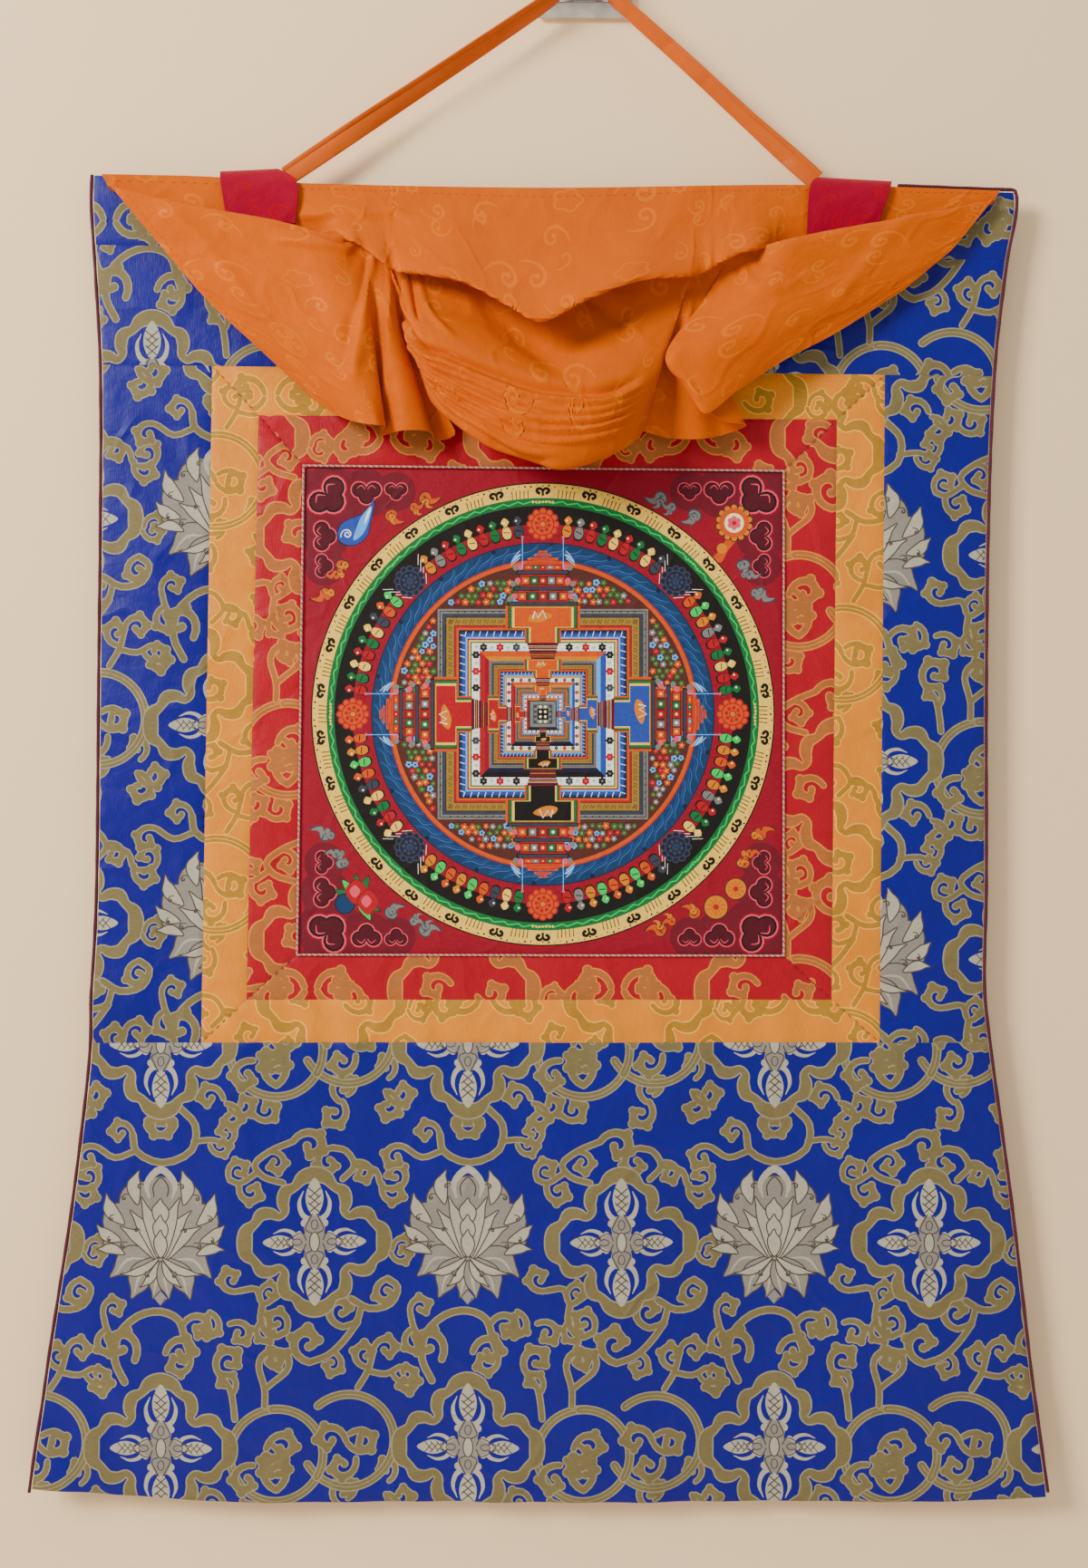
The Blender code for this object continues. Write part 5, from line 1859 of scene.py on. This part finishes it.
# Curls of the silk's damask: where each starts, its heading, length, winding and width.
DamaskCurl = namedtuple("DamaskCurl", "across height heading length winding width")
DAMASK = tuple(DamaskCurl(*row) for row in (
    (-30, -4, 60, 62, -430, 4.4), (-6, 8, 20, 50, -400, 3.8), (10, -14, -60, 44, 420, 3.6),
    (-24, -24, -20, 46, 390, 3.4), (24, 18, 110, 40, 380, 3.2), (30, -24, -120, 36, -400, 3.0),
    (-18, 34, 150, 40, 380, 3.2), (2, -36, -30, 34, -380, 2.8), (-34, 20, 100, 24, -260, 2.6),
    (16, 4, 0, 22, 240, 2.6),
))


def medallion(radius):
    """A round tone-on-tone emblem: a ring, four petals and a knot of leaves between them."""
    shapes = drawn(edge_line(disc(0, 0, radius, 40), 1.3), 1)
    shapes += drawn(edge_line(disc(0, 0, radius * 0.84, 36), 0.8), 1)
    for turn in range(0, 360, 90):
        petal = smooth([(0, 2.2), (3.4, 6.0), (0, radius * 0.74), (-3.4, 6.0)], 5, closed=True)
        shapes.extend(moved([(petal, 1)], 0, 0, turn))
        lobe = smooth([(0, 4.5), (1.3, 6.4), (0, 8.2), (-1.3, 6.4)], 3, closed=True)
        shapes.extend(moved([(lobe, 0)], 0, 0, turn))
        for flip in (False, True):
            curl = spiral((1.0, 3.0), 66, 9.5, -230, 10)
            shapes.extend(moved(drawn(stroke(curl, (1.0, 1.6, 1.0)), 1), 0, 0, turn + 45, 1, flip))
    shapes.append((disc(0, 0, 2.6, 12), 1))
    shapes.append((disc(0, 0, 1.2, 8), 0))
    return shapes


def damask(wide, tall):
    """The silk's damask over a flat cloth that hangs down from height 0."""
    repeat = []
    for curl in DAMASK:
        line = spiral((curl.across, curl.height), curl.heading, curl.length, curl.winding, 15, 1.6)
        widths = tuple(curl.width * share for share in (0.2, 0.5, 0.6, 0.5, 0.35))
        repeat.extend(drawn(stroke(line, widths), 1))
        repeat.append((disc(*line[-1], curl.width * 0.42, 9), 1))
    cloud = drawn(edge_line(lobed_cloud_outline(9.0), 0.9), 1)
    repeat += moved(cloud, 22, 38)
    shapes = []
    for column in range(int(wide / DAMASK_WIDE) + 2):
        drop = DAMASK_TALL / 2 if column % 2 else 0.0
        for row in range(int(tall / DAMASK_TALL) + 2):
            place = (column * DAMASK_WIDE + 12.0, -row * DAMASK_TALL - drop)
            shapes.extend(moved(repeat, *place, 0, 1, flip=row % 2 == 1))
    return shapes


def lobed_cloud_outline(size):
    """The outline of a small cloud with five lobes."""
    angle = np.linspace(0, math.tau, 40, endpoint=False)
    reach = size * (0.72 + 0.28 * np.abs(np.cos(2.5 * angle)))
    return np.stack([reach * np.cos(angle), 0.62 * reach * np.sin(angle)], axis=1)


# Creases of the veil: the line each follows on the flat cloth, its half width and how far it stands.
Crease = namedtuple("Crease", "path wide deep")
CREASES = tuple(Crease(*row) for row in (
    (((150, -114), (155, -124), (167, -135), (189, -135), (211, -137), (249, -141), (299, -143),
     (323, -142)), 2.59, -4.2),
    (((148, -118), (155, -129), (165, -140), (189, -140), (211, -142), (249, -146), (299, -148),
     (326, -147)), 1.62, 3.8),
    (((152, -136), (159, -145), (184, -144), (209, -145), (250, -150), (296, -151),
     (325, -152)), 1.35, 3.1),
    (((156, -141), (163, -148), (183, -148), (204, -150), (248, -153.5), (293, -154),
     (325, -156)), 1.30, 3.1),
    (((158, -146), (166, -152), (183, -152.5), (200, -154), (241, -157), (294, -157.5),
     (324, -160)), 1.30, 3.0),
    (((160, -150), (169, -156), (180, -157.5), (197, -158.5), (238, -161), (288, -161),
     (318, -164)), 1.35, 2.7),
    (((170, -159), (181, -163), (201, -164), (225, -165.5), (262, -165)), 1.62, 2.4),
    (((205, -168), (225, -170.5), (248, -170)), 2.6, -2.9),
    (((134, -74), (141, -86), (152, -108), (161, -131), (166, -150)), 2.0, 2.2),
    (((160, -62), (164, -85), (168, -108), (174, -122)), 2.2, -2.9),
    (((166, -66), (172, -92), (180, -112), (196, -126)), 2.6, 1.8),
    (((205, -88), (221, -101), (239, -115), (262, -134)), 8.0, -3.1),
    (((276, -90), (288, -99), (304, -109)), 5.0, -3.1),
    (((70, -23), (100, -23.5), (150, -21), (191, -22), (228, -23)), 3.4, 1.8),
    (((62, -50), (88, -52), (112, -48)), 2.2, 1.8), (((62, -60), (90, -60), (113, -53)), 1.9, -1.8),
    (((58, -70), (88, -68), (114, -58)), 2.4, 1.8),
    (((122, -56), (113, -82), (104, -107), (92, -141), (74, -170)), 4.2, 2.4),
    (((117, -62), (106, -92), (96, -115), (82, -145)), 3.0, -1.9),
    (((131, -80), (127, -110), (121, -150), (116, -178)), 2.6, 1.8),
    (((384, -52), (412, -71), (436, -96), (456, -112)), 3.2, -1.8),
    (((380, -60), (404, -80), (424, -104), (440, -122)), 3.4, 1.6),
    (((396, -140), (393, -168), (400, -188)), 2.6, 1.4),
    (((344, -86), (352, -120), (360, -150), (366, -180)), 2.8, 1.8),
    (((336, -84), (341, -120), (345, -150)), 2.2, -1.8),
    (((14, -30), (24, -70), (30, -110), (44, -150)), 6.0, 1.1),
    (((520, -40), (500, -80), (486, -120), (470, -150)), 6.0, 1.0),
))

# The emblem's middle and the pleated stretch (left, right, low, high) on the flat cloth, the knots
# across and down the veil's net, and how far apart its first rows are evened out.
MEDALLION = (39.4, -136.4)
PLEATED = (134.0, 334.0, -176.0, -104.0)
VEIL_KNOTS = (560, 260)
SETTLE_REACH = 26.0


# ---------------------------------------------------------------- finishes


def finish_named(name):
    """A finish, made when it is first asked for."""
    if "Brocade Threads" not in bpy.data.node_groups:
        make_thread_group()
        make_weave_group()
        make_crumple_group()
        make_yarn_group()
    ready = bpy.data.materials.get(f"{name}_cloth" if name.endswith("_reverse") else name)
    colours = bpy.context.scene.thangka_colours
    if ready is not None and ready.get("thangka_ready"):
        return ready

    def tone(*names):
        return [tuple(getattr(colours, colour)) for colour in names]

    silvers = tone("silver", "silver_line", "silver_light")
    if name == "blue_brocade":
        made = brocade(name, tone("blue", "khaki", "pale_khaki") + silvers, 0.46, 0.62)
    elif name == "amber_brocade":
        made = brocade(name, tone("amber", "amber_scroll", "amber_outline") * 2, 0.48, 0.6)
    elif name == "red_brocade":
        made = brocade(name, tone("red", "red_scroll", "red_outline") * 2, 0.46, 0.6)
    elif name == "brocade_reverse":
        made = plain_cloth(name + "_cloth", *tone("blue", "khaki"), 0.8)
    elif name == "orange_silk":
        made = silk(name, *tone("orange", "orange_figure"), 0.44)
    elif name == "crimson_cloth":
        made = silk(name, *tone("crimson", "red"), 0.5)
    elif name == "orange_ribbon":
        made = plain_cloth(name, *tone("ribbon", "orange"), 0.5)
    elif name == "maroon_piping":
        made = yarn(name, *tone("maroon"), hue("#3A0A1A"))
    elif name == "cream_cord":
        made = yarn(name, *tone("cream"), hue("#9C5A5E"), 300.0)
    elif name == "painted_canvas":
        made = painted_canvas()
    else:
        made = steel()
    made["thangka_ready"] = True
    return made


# ---------------------------------------------------------------- operators


class Builder:
    """What every operator shares."""

    bl_options = {"REGISTER", "UNDO"}

    @staticmethod
    def sizes():
        """Sizes in millimetres, by name."""
        given = bpy.context.scene.thangka_sizes
        names = ThangkaSizes.__annotations__
        return namedtuple("Sizes", list(names))(*(getattr(given, name) / MM for name in names))


class THANGKA_OT_blue_panels(Builder, bpy.types.Operator):
    """Cut and sew in the five panels of blue brocade"""

    bl_idname = "thangka.blue_panels"
    bl_label = "Blue Panels"

    def execute(self, context):
        sizes = self.sizes()
        left, right = side_line("left"), side_line("right")
        gold_left = frame_line(GOLD_OUTER.top_left, GOLD_OUTER.bottom_left)
        gold_right = frame_line(GOLD_OUTER.top_right, GOLD_OUTER.bottom_right)
        edge, band, upper, lower, hem = (
            cross_line(table) for table in (TOP_EDGE, BAND_SEAM, UPPER_SEAM, LOWER_SEAM, BOTTOM_HEM)
        )
        panels = (
            ("top_band", Panel(left, right, edge, band), (-288.0, -278.8), False),
            ("upper_panel", Panel(left, right, band, upper), (-262.2, -253.0), True),
            ("left_panel", Panel(left, gold_left, upper, lower), (-220.9, -459.3), True),
            ("right_panel", Panel(gold_right, right, upper, lower), (170.7, -481.3), True),
            ("lower_panel", Panel(left, right, lower, hem), (-256.7, -897.6), True),
        )
        materials = [finish_named("blue_brocade"), finish_named("brocade_reverse")]
        for node, piece, origin, figured in panels:
            sew_brocade(node, piece, "blue_brocade", origin, materials, sizes, figured)
        return {"FINISHED"}


class THANGKA_OT_frames(Builder, bpy.types.Operator):
    """Sew the amber frame and the red frame round the painting"""

    bl_idname = "thangka.frames"
    bl_label = "Amber and Red Frames"

    def execute(self, context):
        sizes = self.sizes()
        origins = {
            "gold": {"top": (-190, -140), "bottom": (-60, -505), "left": (-150, -560), "right": (230, -420)},
            "red": {"top": (-120, -410), "bottom": (20, -745), "left": (-250, -470), "right": (60, -380)},
        }
        frames = (
            ("gold", "amber_brocade", GOLD_OUTER, RED_OUTER),
            ("red", "red_brocade", RED_OUTER, PAINTING),
        )
        for colour, slot, outer, inner in frames:
            materials = [finish_named(slot), finish_named("brocade_reverse")]
            for side, piece in frame_quads(outer, inner).items():
                origin = origins[colour][side]
                sew_brocade(f"{colour}_strip_{side}", piece, slot, origin, materials, sizes, figured=False)
        return {"FINISHED"}


class THANGKA_OT_painting(Builder, bpy.types.Operator):
    """Paint the mandala on its canvas"""

    bl_idname = "thangka.painting"
    bl_label = "Painting"

    def execute(self, context):
        sizes = self.sizes()
        piece = Quad(*PAINTING)
        outline = piece.outline(sizes.cell * 0.7)
        shapes = moved(mandala().shapes, *MANDALA_MIDDLE)
        cut = cut_cloth(outline, shapes, sizes.cell)
        colours = np.array([hue(code) + (1.0,) for code in PAINTS.values()])
        canvas = [finish_named("painted_canvas"), finish_named("brocade_reverse")]
        thing = lay_cloth("painting_cloth", cut, seamed_place(piece), sizes.canvas, canvas, colours)
        finish_sheet(thing, "painting", "painted_canvas")
        return {"FINISHED"}


def veil_net():
    """The veil as it hangs, with its creases."""
    net = Net([veil_lines(section) for section in VEIL], *VEIL_KNOTS)
    square = net.smoothed()
    for crease in CREASES:
        net.crease(smooth(crease.path, 8), crease.wide, crease.deep, square)
    return net


class THANGKA_OT_veil(Builder, bpy.types.Operator):
    """Hang the silk veil, gathered up at its middle"""

    bl_idname = "thangka.veil"
    bl_label = "Veil"

    def execute(self, context):
        sizes = self.sizes()
        net = veil_net()
        outline = net.outline(sizes.veil_cell)
        shapes = damask(net.wide, net.tall) + [(disc(*MEDALLION, 14.0, 24), 0)]
        shapes += moved(medallion(11.5), *MEDALLION, 45)
        left, right, low, high = PLEATED
        fine = sizes.veil_cell * 0.45
        across, height = np.meshgrid(np.arange(left, right, fine * 1.6), np.arange(low, high, fine))
        pleats = np.stack([across.ravel(), height.ravel()], axis=1)
        cut = cut_cloth(outline, shapes, sizes.veil_cell, [pleats])
        silk_twice = [finish_named("orange_silk")] * 2
        thing = lay_cloth("veil_cloth", cut, net.place, sizes.veil, silk_twice, cell=3.2)
        finish_sheet(thing, "veil", "orange_silk")
        return {"FINISHED"}


class THANGKA_OT_tabs(Builder, bpy.types.Operator):
    """Fold the crimson tabs over the top edge"""

    bl_idname = "thangka.tabs"
    bl_label = "Tabs"

    def execute(self, context):
        sizes = self.sizes()
        for node, rows in (("left_tab", LEFT_TAB), ("right_tab", RIGHT_TAB)):
            sides = (
                [(row.left, row.out, row.left_height) for row in rows[::-1]],
                [(row.right, row.out, row.right_height) for row in rows[::-1]],
            )
            net = Net(sides, 24, 60)
            outline = net.outline(2.0)
            cut = cut_cloth(outline, moved(damask(net.wide + 60, net.tall + 60), -34, 22, 0, 0.62), 1.6)
            cloth = [finish_named("crimson_cloth")] * 2
            thing = lay_cloth(f"{node}_cloth", cut, net.place, sizes.cloth, cloth, cell=2.4)
            finish_sheet(thing, node, "crimson_cloth")
        return {"FINISHED"}


class THANGKA_OT_ribbon(Builder, bpy.types.Operator):
    """Lead the flat ribbon from tab to tab over the hook"""

    bl_idname = "thangka.ribbon"
    bl_label = "Ribbon"

    def execute(self, context):
        sizes = self.sizes()
        knots = np.array([(row.across, -row.out, row.height) for row in RIBBON], float)
        places = np.linspace(0, len(knots) - 1, 240)
        line = run_through(knots, places)
        turns = np.radians(run_through([(row.turn,) for row in RIBBON], places)[:, 0])
        ahead = np.gradient(line, axis=0)
        ahead /= np.linalg.norm(ahead, axis=1, keepdims=True)
        outward = np.array((0.0, -1.0, 0.0))
        level_way = np.cross(outward, ahead)
        level_way /= np.linalg.norm(level_way, axis=1, keepdims=True)
        across = level_way * np.cos(turns)[:, None] + outward * np.sin(turns)[:, None]
        square = np.cross(ahead, across)
        half, thick = sizes.ribbon_width / 2, sizes.ribbon_thickness / 2
        section = (
            (-1.0, 0.0), (-0.96, 0.7), (-0.86, 1.0), (-0.3, 0.85), (0.42, 0.9), (0.5, 0.45),
            (0.58, 0.95), (0.9, 1.0), (0.97, 0.7), (1.0, 0.0), (0.97, -0.7), (0.9, -1.0),
            (0.2, -0.85), (-0.5, -0.9), (-0.9, -1.0), (-0.97, -0.7),
        )
        rings = np.stack([line + across * half * u + square * thick * v for u, v in section], axis=1)
        sides = len(section)
        faces = ring_faces(len(line), sides)
        lengths = np.concatenate([[0.0], np.cumsum(np.linalg.norm(np.diff(line, axis=0), axis=1))])
        thing = round_piece("ribbon", [(rings.reshape(-1, 3), faces)], finish_named("orange_ribbon"))
        flat = np.zeros((len(line), sides, 3), np.float32)
        flat[..., 0] = np.array([u for u, _ in section])[None, :] * half * MM
        flat[..., 1] = lengths[:, None] * MM
        thing.data.attributes.new("flat", "FLOAT_VECTOR", "POINT").data.foreach_set("vector", flat.ravel())
        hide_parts("hanging_ribbon")
        return {"FINISHED"}


class THANGKA_OT_edge_cord(Builder, bpy.types.Operator):
    """Lay the two-strand cord round the painting"""

    bl_idname = "thangka.edge_cord"
    bl_label = "Edge Cord"

    def execute(self, context):
        sizes = self.sizes()
        lift = sizes.cloth / 2 + 0.2 + sizes.edge_cord
        corners = Quad(*PAINTING).corners
        middle = on_scroll(sampled(corners, 0.6), lift)
        steps = np.linalg.norm(np.diff(np.concatenate([middle, middle[:1]]), axis=0), axis=1)
        along = np.concatenate([[0.0], np.cumsum(steps)])[:-1]
        turns = round(float(steps.sum()) / 3.6)
        angle = math.tau * turns * along / steps.sum()
        ahead = np.roll(middle, -1, axis=0) - np.roll(middle, 1, axis=0)
        ahead /= np.linalg.norm(ahead, axis=1, keepdims=True)
        outward = np.array((0.0, -1.0, 0.0))
        beside = np.cross(ahead, outward)
        strands = []
        for start in (0.0, math.pi):
            reach = sizes.edge_cord * 0.48
            way = beside * np.cos(angle + start)[:, None] + outward * np.sin(angle + start)[:, None]
            strands.append(tube(middle + way * reach, sizes.edge_cord * 0.56, 5, closed=True))
        thing = round_piece("edge_cord", strands, finish_named("cream_cord"))
        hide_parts("painting_edge_cord")
        return {"FINISHED"}


class THANGKA_OT_piping(Builder, bpy.types.Operator):
    """Run the maroon piping down both sides"""

    bl_idname = "thangka.piping"
    bl_label = "Piping"

    def execute(self, context):
        sizes = self.sizes()
        beside = HALF_SEAM + 0.3 + sizes.binding
        bottom = EDGES[-1].height + 3.0

        def down_side(side, sign, top):
            height = np.linspace(top, bottom, 260)
            across = read(EDGES, "height", side, height)
            return on_scroll(np.stack([across, height], axis=1)) + (sign * beside, 0.0, 0.0)

        left = down_side("left", -1.0, EDGES[0].height)
        top = float(level(TOP_EDGE, EDGES[0].right)) - 1.0
        right = down_side("right", 1.0, top)
        across = np.linspace(190.0, 256.0, 24)
        along_top = on_scroll(np.stack([across, level(TOP_EDGE, across)], axis=1)) + (0.0, 0.0, beside + 0.3)
        corner = (right[0][0] - sizes.binding, right[0][1], along_top[-1][2] - sizes.binding / 2)
        turn = smooth([along_top[-2], along_top[-1], corner, right[0], right[1]], 6)
        right = np.concatenate([along_top[:-2], turn, right[2:]])
        for node, line in (("left_binding", left), ("right_binding", right)):
            step = np.arange(len(line))
            radii = sizes.binding * (1.0 + 0.07 * np.sin(step * 0.9) + 0.05 * np.sin(step * 0.31))
            thing = round_piece(f"{node}_piping", [tube(line, radii, 10)], finish_named("maroon_piping"))
            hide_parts(node)
        return {"FINISHED"}


class THANGKA_OT_stitching(Builder, bpy.types.Operator):
    """Sew the mitres of the frames and the hems of the veil"""

    bl_idname = "thangka.stitching"
    bl_label = "Stitching"

    def execute(self, context):
        sizes = self.sizes()
        stitches = []
        for outer, inner in ((GOLD_OUTER, RED_OUTER), (RED_OUTER, PAINTING)):
            for corner in outer._fields:
                ends = np.array((getattr(outer, corner), getattr(inner, corner)), float)
                line = mix(ends[0], ends[1], np.linspace(0.04, 0.96, 12)[:, None])
                stitches += stitch_row(line, on_scroll, sizes.stitch, 2.4, sizes.thread, sizes.cloth / 2)
        thing = round_piece("mitre_stitches", stitches, finish_named("maroon_piping"))
        net = veil_net()
        top, side = net.wide - 3.0, 4.0
        hems = (
            ((3.0, -4.2), (top, -4.2)),
            ((side, -6.0), (side, 4.0 - net.tall)),
            ((net.wide - side, -6.0), (net.wide - side, 4.0 - net.tall)),
        )
        stitches = []
        for start, end in hems:
            line = mix(np.array(start), np.array(end), np.linspace(0, 1, 60)[:, None])
            stitches += stitch_row(line, net.place, sizes.stitch, 2.0, sizes.thread, sizes.veil / 2)
        thing = round_piece("hem_stitches", stitches, finish_named("orange_ribbon"))
        return {"FINISHED"}


PLATE_RINGS = (
    # half width, half height, corner radius, out
    (29.6, 24.6, 2.6, 0.0),
    (30.0, 25.0, 3.0, 0.4),
    (30.0, 25.0, 3.0, 0.9),
    (29.5, 24.5, 2.7, 1.3),
    (22.6, 17.6, 1.8, 4.7),
    (22.0, 17.0, 1.6, 5.0),
    (21.2, 16.2, 1.4, 4.9),
    (20.8, 15.8, 1.3, 4.3),
    (20.4, 15.4, 1.2, 3.9),
)


def rounded(half_wide, half_tall, radius, steps=5):
    """A rectangle with round corners."""
    points = []
    for number, (sign_x, sign_z) in enumerate(((1, 1), (-1, 1), (-1, -1), (1, -1))):
        angle = np.radians(np.linspace(90 * number, 90 * number + 90, steps))
        points.append(np.stack([
            sign_x * (half_wide - radius) + radius * np.cos(angle),
            sign_z * (half_tall - radius) + radius * np.sin(angle),
        ], axis=1))
    return np.concatenate(points)


def stacked(rings):
    """Corners and faces of a closed form through rings of the same number of corners."""
    return np.concatenate(rings), ring_faces(len(rings), len(rings[0]))


class THANGKA_OT_hook(Builder, bpy.types.Operator):
    """Make the wall plate with its sloping borders and the tongue that the ribbon lies on"""

    bl_idname = "thangka.hook"
    bl_label = "Wall Hook"

    def execute(self, context):
        rings = []
        for half_wide, half_tall, radius, out in PLATE_RINGS:
            flat = rounded(half_wide, half_tall, radius)
            rings.append(np.stack([flat[:, 0], np.full(len(flat), -out), flat[:, 1]], axis=1))
        bar = []
        for shrink, out in ((0.0, 3.7), (0.0, 4.4), (0.35, 4.75)):
            flat = rounded(18.0 - shrink, 1.5 - shrink, 1.0 - shrink * 0.8)
            bar.append(np.stack([flat[:, 0], np.full(len(flat), -out), flat[:, 1] - 12.6], axis=1))
        plate = round_piece("hook_plate_metal", [stacked(rings), stacked(bar)], finish_named("brushed_steel"))
        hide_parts("hook_plate")
        tongue = round_piece("hook_tongue_metal", [stacked(tongue_rings())], finish_named("brushed_steel"))
        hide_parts("hook_tongue")
        return {"FINISHED"}


TONGUE_HALF, TONGUE_THICK, TONGUE_TOP = 7.0, 2.4, -11.7
TONGUE_REACH, TONGUE_RISE, TONGUE_BEND = 24.0, 14.0, 5.0


def tongue_rings():
    """Cross cuts of the tongue from the plate out and up to its tip."""
    middle_low = TONGUE_TOP - TONGUE_THICK / 2
    radius = TONGUE_BEND - TONGUE_THICK / 2
    line = [(5.3, middle_low), (9.0, middle_low), (14.0, middle_low)]
    for angle in np.radians(np.linspace(-90, 0, 9)):
        out = TONGUE_REACH - TONGUE_BEND + radius * math.cos(angle)
        line.append((out, middle_low + radius + radius * math.sin(angle)))
    for below_tip in (4.0, 1.2, 0.0):
        line.append((TONGUE_REACH - TONGUE_THICK / 2, TONGUE_TOP + TONGUE_RISE - below_tip))
    line = np.array(line)
    ahead = np.gradient(line, axis=0)
    ahead /= np.linalg.norm(ahead, axis=1, keepdims=True)
    up = np.stack([-ahead[:, 1], ahead[:, 0]], axis=1)
    rings = []
    for number, (spot, way) in enumerate(zip(line, up)):
        near_tip = len(line) - 1 - number
        half = TONGUE_HALF - (1.2, 0.35, 0.0)[min(near_tip, 2)]
        thick = TONGUE_THICK / 2 - (0.3, 0.0, 0.0)[min(near_tip, 2)]
        cut = rounded(half, thick, 0.5, 4)
        places = spot + way * cut[:, 1:2]
        rings.append(np.stack([cut[:, 0], -places[:, 0], places[:, 1]], axis=1))
    return rings


WALL_BACK, FLOOR_HEIGHT, STAGE_HALF = 3.0 * MM, -1.25, 6.0


class THANGKA_OT_stage(Builder, bpy.types.Operator):
    """Set up the wall, the floor, the studio light and the camera"""

    bl_idname = "thangka.stage"
    bl_label = "Stage"

    def execute(self, context):
        wall = Finish("stage_wall", 0.9, Specular_IOR_Level=0.2)
        wiring = wall.wiring
        wall.shader.inputs["Base Color"].default_value = (*hue("#FFDFB2"), 1.0)
        facing = wiring.add("ShaderNodeNewGeometry").outputs["Backfacing"]
        wiring.feed(wall.shader.inputs["Alpha"], wiring.maths("SUBTRACT", 1.0, facing))
        floor = Finish("stage_floor", 0.8, Specular_IOR_Level=0.2)
        floor.shader.inputs["Base Color"].default_value = (*hue("#DDD8D0"), 1.0)
        upright = ((-1, 0, -1), (1, 0, -1), (1, 0, 1), (-1, 0, 1))
        lying = ((-1, -1, 0), (1, -1, 0), (1, 1, 0), (-1, 1, 0))
        spots = (
            ("stage_wall", wall.material, upright, (0, WALL_BACK, 0)),
            ("stage_floor", floor.material, lying, (0, 0, FLOOR_HEIGHT)),
        )
        for name, material, corners, place in spots:
            mesh = bpy.data.meshes.new(name)
            corners = [tuple(STAGE_HALF * value for value in corner) for corner in corners]
            mesh.from_pydata(corners, [], [(0, 1, 2, 3)])
            mesh.materials.append(material)
            thing = bpy.data.objects.new(name, mesh)
            thing.location = place
            thing.visible_shadow = name != "stage_wall"
            context.scene.collection.objects.link(thing)
        target = Vector((-0.03, -0.02, -0.50))
        lamps = (
            ("key_light", (-1.7, -1.5, 0.55), 0.8, 80.0, (1.0, 0.95, 0.885)),
            ("fill_light", (1.7, -2.2, -0.2), 2.4, 16.0, (0.97, 0.98, 1.0)),
            ("top_light", (0.1, -1.1, 1.7), 1.2, 12.0, (1.0, 0.97, 0.93)),
            ("back_light", (-0.9, 2.0, 0.3), 1.6, 22.0, (1.0, 0.98, 0.95)),
        )
        for name, place, size, energy, colour in lamps:
            light = bpy.data.lights.new(name, "AREA")
            light.size, light.energy, light.color = size, energy, colour
            lamp = bpy.data.objects.new(name, light)
            lamp.location = place
            lamp.rotation_euler = (target - lamp.location).to_track_quat("-Z", "Y").to_euler()
            context.scene.collection.objects.link(lamp)
        world = bpy.data.worlds.new("studio")
        world.use_nodes = True
        background = world.node_tree.nodes["Background"]
        background.inputs["Color"].default_value = (0.80, 0.82, 0.86, 1.0)
        background.inputs["Strength"].default_value = 0.36
        context.scene.world = world
        camera = bpy.data.objects.new("camera", bpy.data.cameras.new("camera"))
        camera.data.sensor_width, camera.data.lens, camera.data.clip_start = 36.0, 37.83, 0.05
        camera.location = (-0.0246, -1.012, -0.495)
        camera.rotation_euler = (math.radians(90.0), 0.0, 0.0)
        context.scene.collection.objects.link(camera)
        context.scene.camera = camera
        return {"FINISHED"}


class THANGKA_PT_sidebar(bpy.types.Panel):
    """Builds the scroll piece by piece"""

    bl_idname = "THANGKA_PT_sidebar"
    bl_label = "Thangka Scroll"
    bl_space_type = "VIEW_3D"
    bl_region_type = "UI"
    bl_category = "Thangka"

    def draw(self, context):
        """List the settings, then the pieces in building order."""
        for settings in (context.scene.thangka_sizes, context.scene.thangka_colours):
            box_of_settings = self.layout.box()
            for name in type(settings).__annotations__:
                box_of_settings.prop(settings, name)
        for operator in OPERATORS:
            self.layout.operator(operator.bl_idname)


OPERATORS = (
    THANGKA_OT_blue_panels,
    THANGKA_OT_frames,
    THANGKA_OT_painting,
    THANGKA_OT_edge_cord,
    THANGKA_OT_piping,
    THANGKA_OT_tabs,
    THANGKA_OT_veil,
    THANGKA_OT_ribbon,
    THANGKA_OT_hook,
    THANGKA_OT_stitching,
    THANGKA_OT_stage,
)
CLASSES = (ThangkaSizes, ThangkaColours, *OPERATORS, THANGKA_PT_sidebar)


def register():
    """Register the classes and put the settings on the scene."""
    for item in CLASSES:
        bpy.utils.register_class(item)
    bpy.types.Scene.thangka_sizes = bpy.props.PointerProperty(type=ThangkaSizes)
    bpy.types.Scene.thangka_colours = bpy.props.PointerProperty(type=ThangkaColours)


def unregister():
    """Take the settings off the scene and remove the classes."""
    del bpy.types.Scene.thangka_colours
    del bpy.types.Scene.thangka_sizes
    for item in reversed(CLASSES):
        bpy.utils.unregister_class(item)


def main():
    """Register the classes, then build everything in order."""
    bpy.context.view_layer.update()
    register()
    for operator in OPERATORS:
        group, name = operator.bl_idname.split(".")
        getattr(getattr(bpy.ops, group), name)()


if __name__ == "__main__":
    main()
